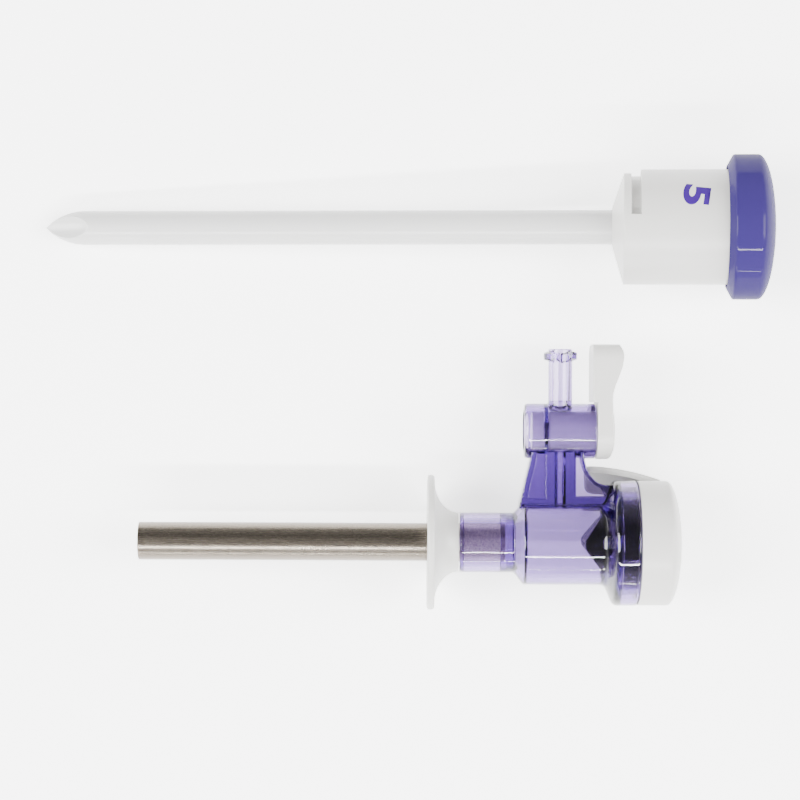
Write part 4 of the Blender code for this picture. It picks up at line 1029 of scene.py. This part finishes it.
tab = capped("tab", loop, tab_place)
cap_piece = combined(cap_piece, [tab], "UNION")
smoothed(cap_piece)
dress(cap_piece, "cap", white_plastic, "white_plastic", "seal_cap")

# Fixation flange
# A white trumpet-shaped collar, moulded in plastic. It slides on the tube, and its flat
# face rests on the skin.
FLANGE_START = 67.6 * MM
FLANGE_END = 74.9 * MM
FLANGE_RADIUS = 15.8 * MM
FLANGE_BORE = 4.75 * MM
FLANGE_RIM = 1.7 * MM
TRUMPET = (5.6 * MM, 7.8 * MM)
TRUMPET_HEIGHT = 14.8 * MM
flange_outline = outline([
    (FLANGE_END, FLANGE_BORE, FINE_EDGE),
    (FLANGE_START, FLANGE_BORE, FINE_EDGE),
    (FLANGE_START, FLANGE_RADIUS, ROUND_EDGE),
    (FLANGE_START + FLANGE_RIM, FLANGE_RADIUS, FULL_EDGE),
] + ellipse((FLANGE_END, TRUMPET_HEIGHT), TRUMPET, math.pi, 1.5 * math.pi, 24))
dress(
    skin("trumpet_flange", revolve(flange_outline, around(240)), CANNULA),
    "flange", white_plastic, "white_plastic", "fixation_flange")

# Stopcock lever and plug
# The white lever and the plug it turns are one moulding. The plug fills the stopcock's
# bore and is cross-bored; turned a quarter, it shuts the gas off.
LEVER_START = 105.9 * MM
HUB_FACE = 107.1 * MM
LEVER_REACH = 20.3 * MM
LEVER_DEPTH = 7.3 * MM
LEVER_HALF = 6.6 * MM
PLUG_RADIUS = 4.5 * MM
STEM_RADIUS = 2.0 * MM
STEM_START = 92.0 * MM
PLUG_START = 95.9 * MM
LEVER_TOE = 6.75 * MM
LEVER_CORNER = 3.3 * MM
LEVER_EDGE = 0.35 * MM
# The plug is the lever's own white plastic, painted brighter here: painted light for how it shows through
# the clear stopcock body
PLUG_PAINTED_LIGHT_WHITE = (0.95, 0.95, 0.95)
LEVER_SIDE_SHARES = (
    (0.0, 1.0), (0.862, 1.0), (0.97, 0.92), (1.0, 0.86), (0.952, 0.75), (0.853, 0.645), (0.726, 0.53),
    (0.649, 0.43), (0.64, 0.35), (0.654, 0.24), (0.699, 0.08), (0.699, -0.09), (0.676, -0.2),
    (0.611, -0.285), (0.534, -0.32),
)
side = [(LEVER_START + x * LEVER_DEPTH, y * LEVER_REACH) for x, y in LEVER_SIDE_SHARES]
lever = slab("lever", side + [
    (HUB_FACE, -0.325 * LEVER_REACH),
    (HUB_FACE, LEVER_TOE),
    (LEVER_START, LEVER_TOE),
], -LEVER_HALF, LEVER_HALF, STOPCOCK, LEVER_EDGE)
front = ellipse((0, 0), (LEVER_HALF, LEVER_HALF), math.pi, math.tau, 40) + [
    (LEVER_HALF, LEVER_REACH * 1.001, LEVER_CORNER),
    (-LEVER_HALF, LEVER_REACH * 1.001, LEVER_CORNER),
]
FACING_X = Matrix(((0, 0, 1, 0), (0, 1, 0, 0), (-1, 0, 0, 0), (0, 0, 0, 1)))
front_prism = slab(
    "front", front, LEVER_START - HAIR, LEVER_START + LEVER_DEPTH * 1.05, STOPCOCK @ FACING_X, EDGE)
lever = combined(lever, [front_prism], "INTERSECT")
plug = skin("plug", revolve(outline([
    (STEM_START, 0),
    (STEM_START, STEM_RADIUS, EDGE),
    (PLUG_START, STEM_RADIUS, HAIR_EDGE),
    (PLUG_START, PLUG_RADIUS, EDGE),
    (HUB_FACE + MM, PLUG_RADIUS),
    (HUB_FACE + MM, 0),
]), around(120)), STOPCOCK)
lever = combined(lever, [plug], "UNION")
WAY_HALF = PLUG_RADIUS + MM
plug_way = skin("plug_way", revolve(outline([
    (-WAY_HALF, 0), (-WAY_HALF, GAS_RADIUS), (WAY_HALF, GAS_RADIUS), (WAY_HALF, 0),
]), around(48)), STOPCOCK @ Matrix.Translation((LUER_STATION, 0, 0)) @ UP)
lever = combined(lever, [plug_way], "DIFFERENCE")
smoothed(lever)
lever.name = "lever_and_plug"
lever_white = Finish("lever_white", colour=WHITE, roughness=0.34)
along_x = lever_white.node("ShaderNodeSeparateXYZ", {}, {0: lever_white.spot()})
along_y = lever_white.node("ShaderNodeSeparateXYZ", {}, {0: lever_white.spot()}, output=1)
# Mask of the painted light: everything behind the hub face and low enough to be the plug or the clip
inside = lever_white.math("LESS_THAN", along_x, STOPCOCK.translation.x + HUB_FACE)
plug_painted_light = inside * lever_white.math("LESS_THAN", along_y, STOPCOCK.translation.y + PLUG_RADIUS + MM)
lever_white.feed("Base Color", lever_white.blend(plug_painted_light, WHITE, PLUG_PAINTED_LIGHT_WHITE))
lever_white.feed("Roughness", (lever_white.noise(CLOUD_SIZE, 2.0) - 0.5) * GLOSS_SPREAD + 0.34)
lever_white.relief(lever_white.noise(size=0.3 * MM), depth=0.006 * MM)
dress(lever, "stopcock", lever_white.material, "white_plastic", "stopcock_lever")

# Plug clip
# A white ring pressed on the plug's stem, in the pocket at the other end of the stopcock.
CLIP = (91.9 * MM, 94.7 * MM)
CLIP_BORE = 2.3 * MM
CLIP_RADIUS = 4.5 * MM
clip_outline = outline([
    (CLIP[0], CLIP_BORE, SMALL_EDGE),
    (CLIP[0], CLIP_RADIUS, EDGE),
    (CLIP[1], CLIP_RADIUS, EDGE),
    (CLIP[1], CLIP_BORE, SMALL_EDGE),
])
# The clip takes the lever's finish, so it gets the same painted light, the plug's brighter white
dress(
    skin("push_clip", revolve(clip_outline, around(96)), STOPCOCK),
    "stopcock", lever_white.material, "white_plastic", "plug_clip")

# Floor, light and camera
# A plain white table, lit a little from below, with a large soft lamp over each end of
# the instruments and two narrow ones in front. The camera looks straight down.
FLOOR_HALF = 3.0
floor_mesh = bpy.data.meshes.new("floor")
corners = [(x * FLOOR_HALF, y * FLOOR_HALF, 0) for x, y in ((-1, -1), (1, -1), (1, 1), (-1, 1))]
floor_mesh.from_pydata(corners, [], [(0, 1, 2, 3)])
floor = bpy.data.objects.new("floor", floor_mesh)
bpy.context.scene.collection.objects.link(floor)
table = Finish(
    "light_table", colour=(0.9, 0.9, 0.9), roughness=0.9,
    Emission_Color=(1.0, 1.0, 1.0), Emission_Strength=1.8)
floor.data.materials.append(table.material)

ROOM_BRIGHTNESS = 1.4
CEILING_SHARE = 0.25
CEILING_EDGE = (0.3, 0.85)
FRONT_SHARE = 0.5
studio = bpy.data.worlds.new("studio")
bpy.context.scene.world = studio
room = Recipe(studio, "Background")
direction = room.node("ShaderNodeTexCoord")
glow = room.node("ShaderNodeMapRange", {"interpolation_type": "SMOOTHSTEP"}, {
    "Value": room.node("ShaderNodeSeparateXYZ", {}, {0: direction}, output=2),
    "From Min": CEILING_EDGE[0],
    "From Max": CEILING_EDGE[1],
    "To Min": ROOM_BRIGHTNESS,
    "To Max": ROOM_BRIGHTNESS * CEILING_SHARE,
})
towards_back = room.node("ShaderNodeSeparateXYZ", {}, {0: direction}, output=1)
room.feed("Color", (1.0, 1.0, 1.0))
room.feed("Strength", glow * (1 - towards_back * FRONT_SHARE))


def lamp(name, place, size, power):
    """A rectangular soft lamp that faces the middle of the table."""
    data = bpy.data.lights.new(name, "AREA")
    data.shape = "RECTANGLE"
    data.size, data.size_y = size
    data.energy = power
    box = bpy.data.objects.new(name, data)
    bpy.context.scene.collection.objects.link(box)
    box.location = place
    box.rotation_euler = (-Vector(place)).to_track_quat("-Z", "Y").to_euler()


lamp("left_box", place=(-1.2, 0.0, 1.1), size=(0.8, 1.4), power=84.0)
lamp("right_box", place=(1.2, 0.0, 1.1), size=(0.8, 1.4), power=70.0)
lamp("high_strip", place=(0.0, -0.74, 0.95), size=(1.4, 0.05), power=26.0)
lamp("low_strip", place=(0.0, -1.15, 0.28), size=(1.4, 0.02), power=8.0)

CAMERA_HEIGHT = 555.8 * MM
CAMERA_OFFSET = (-1.2 * MM, -4.4 * MM)
CAMERA_ROLL = math.radians(0.27)
camera = bpy.data.objects.new("camera", bpy.data.cameras.new("camera"))
bpy.context.scene.collection.objects.link(camera)
camera.location = (*CAMERA_OFFSET, CAMERA_HEIGHT)
camera.rotation_euler = (0, 0, CAMERA_ROLL)
camera.data.lens = 103.5
camera.data.sensor_width = 36
bpy.context.scene.camera = camera
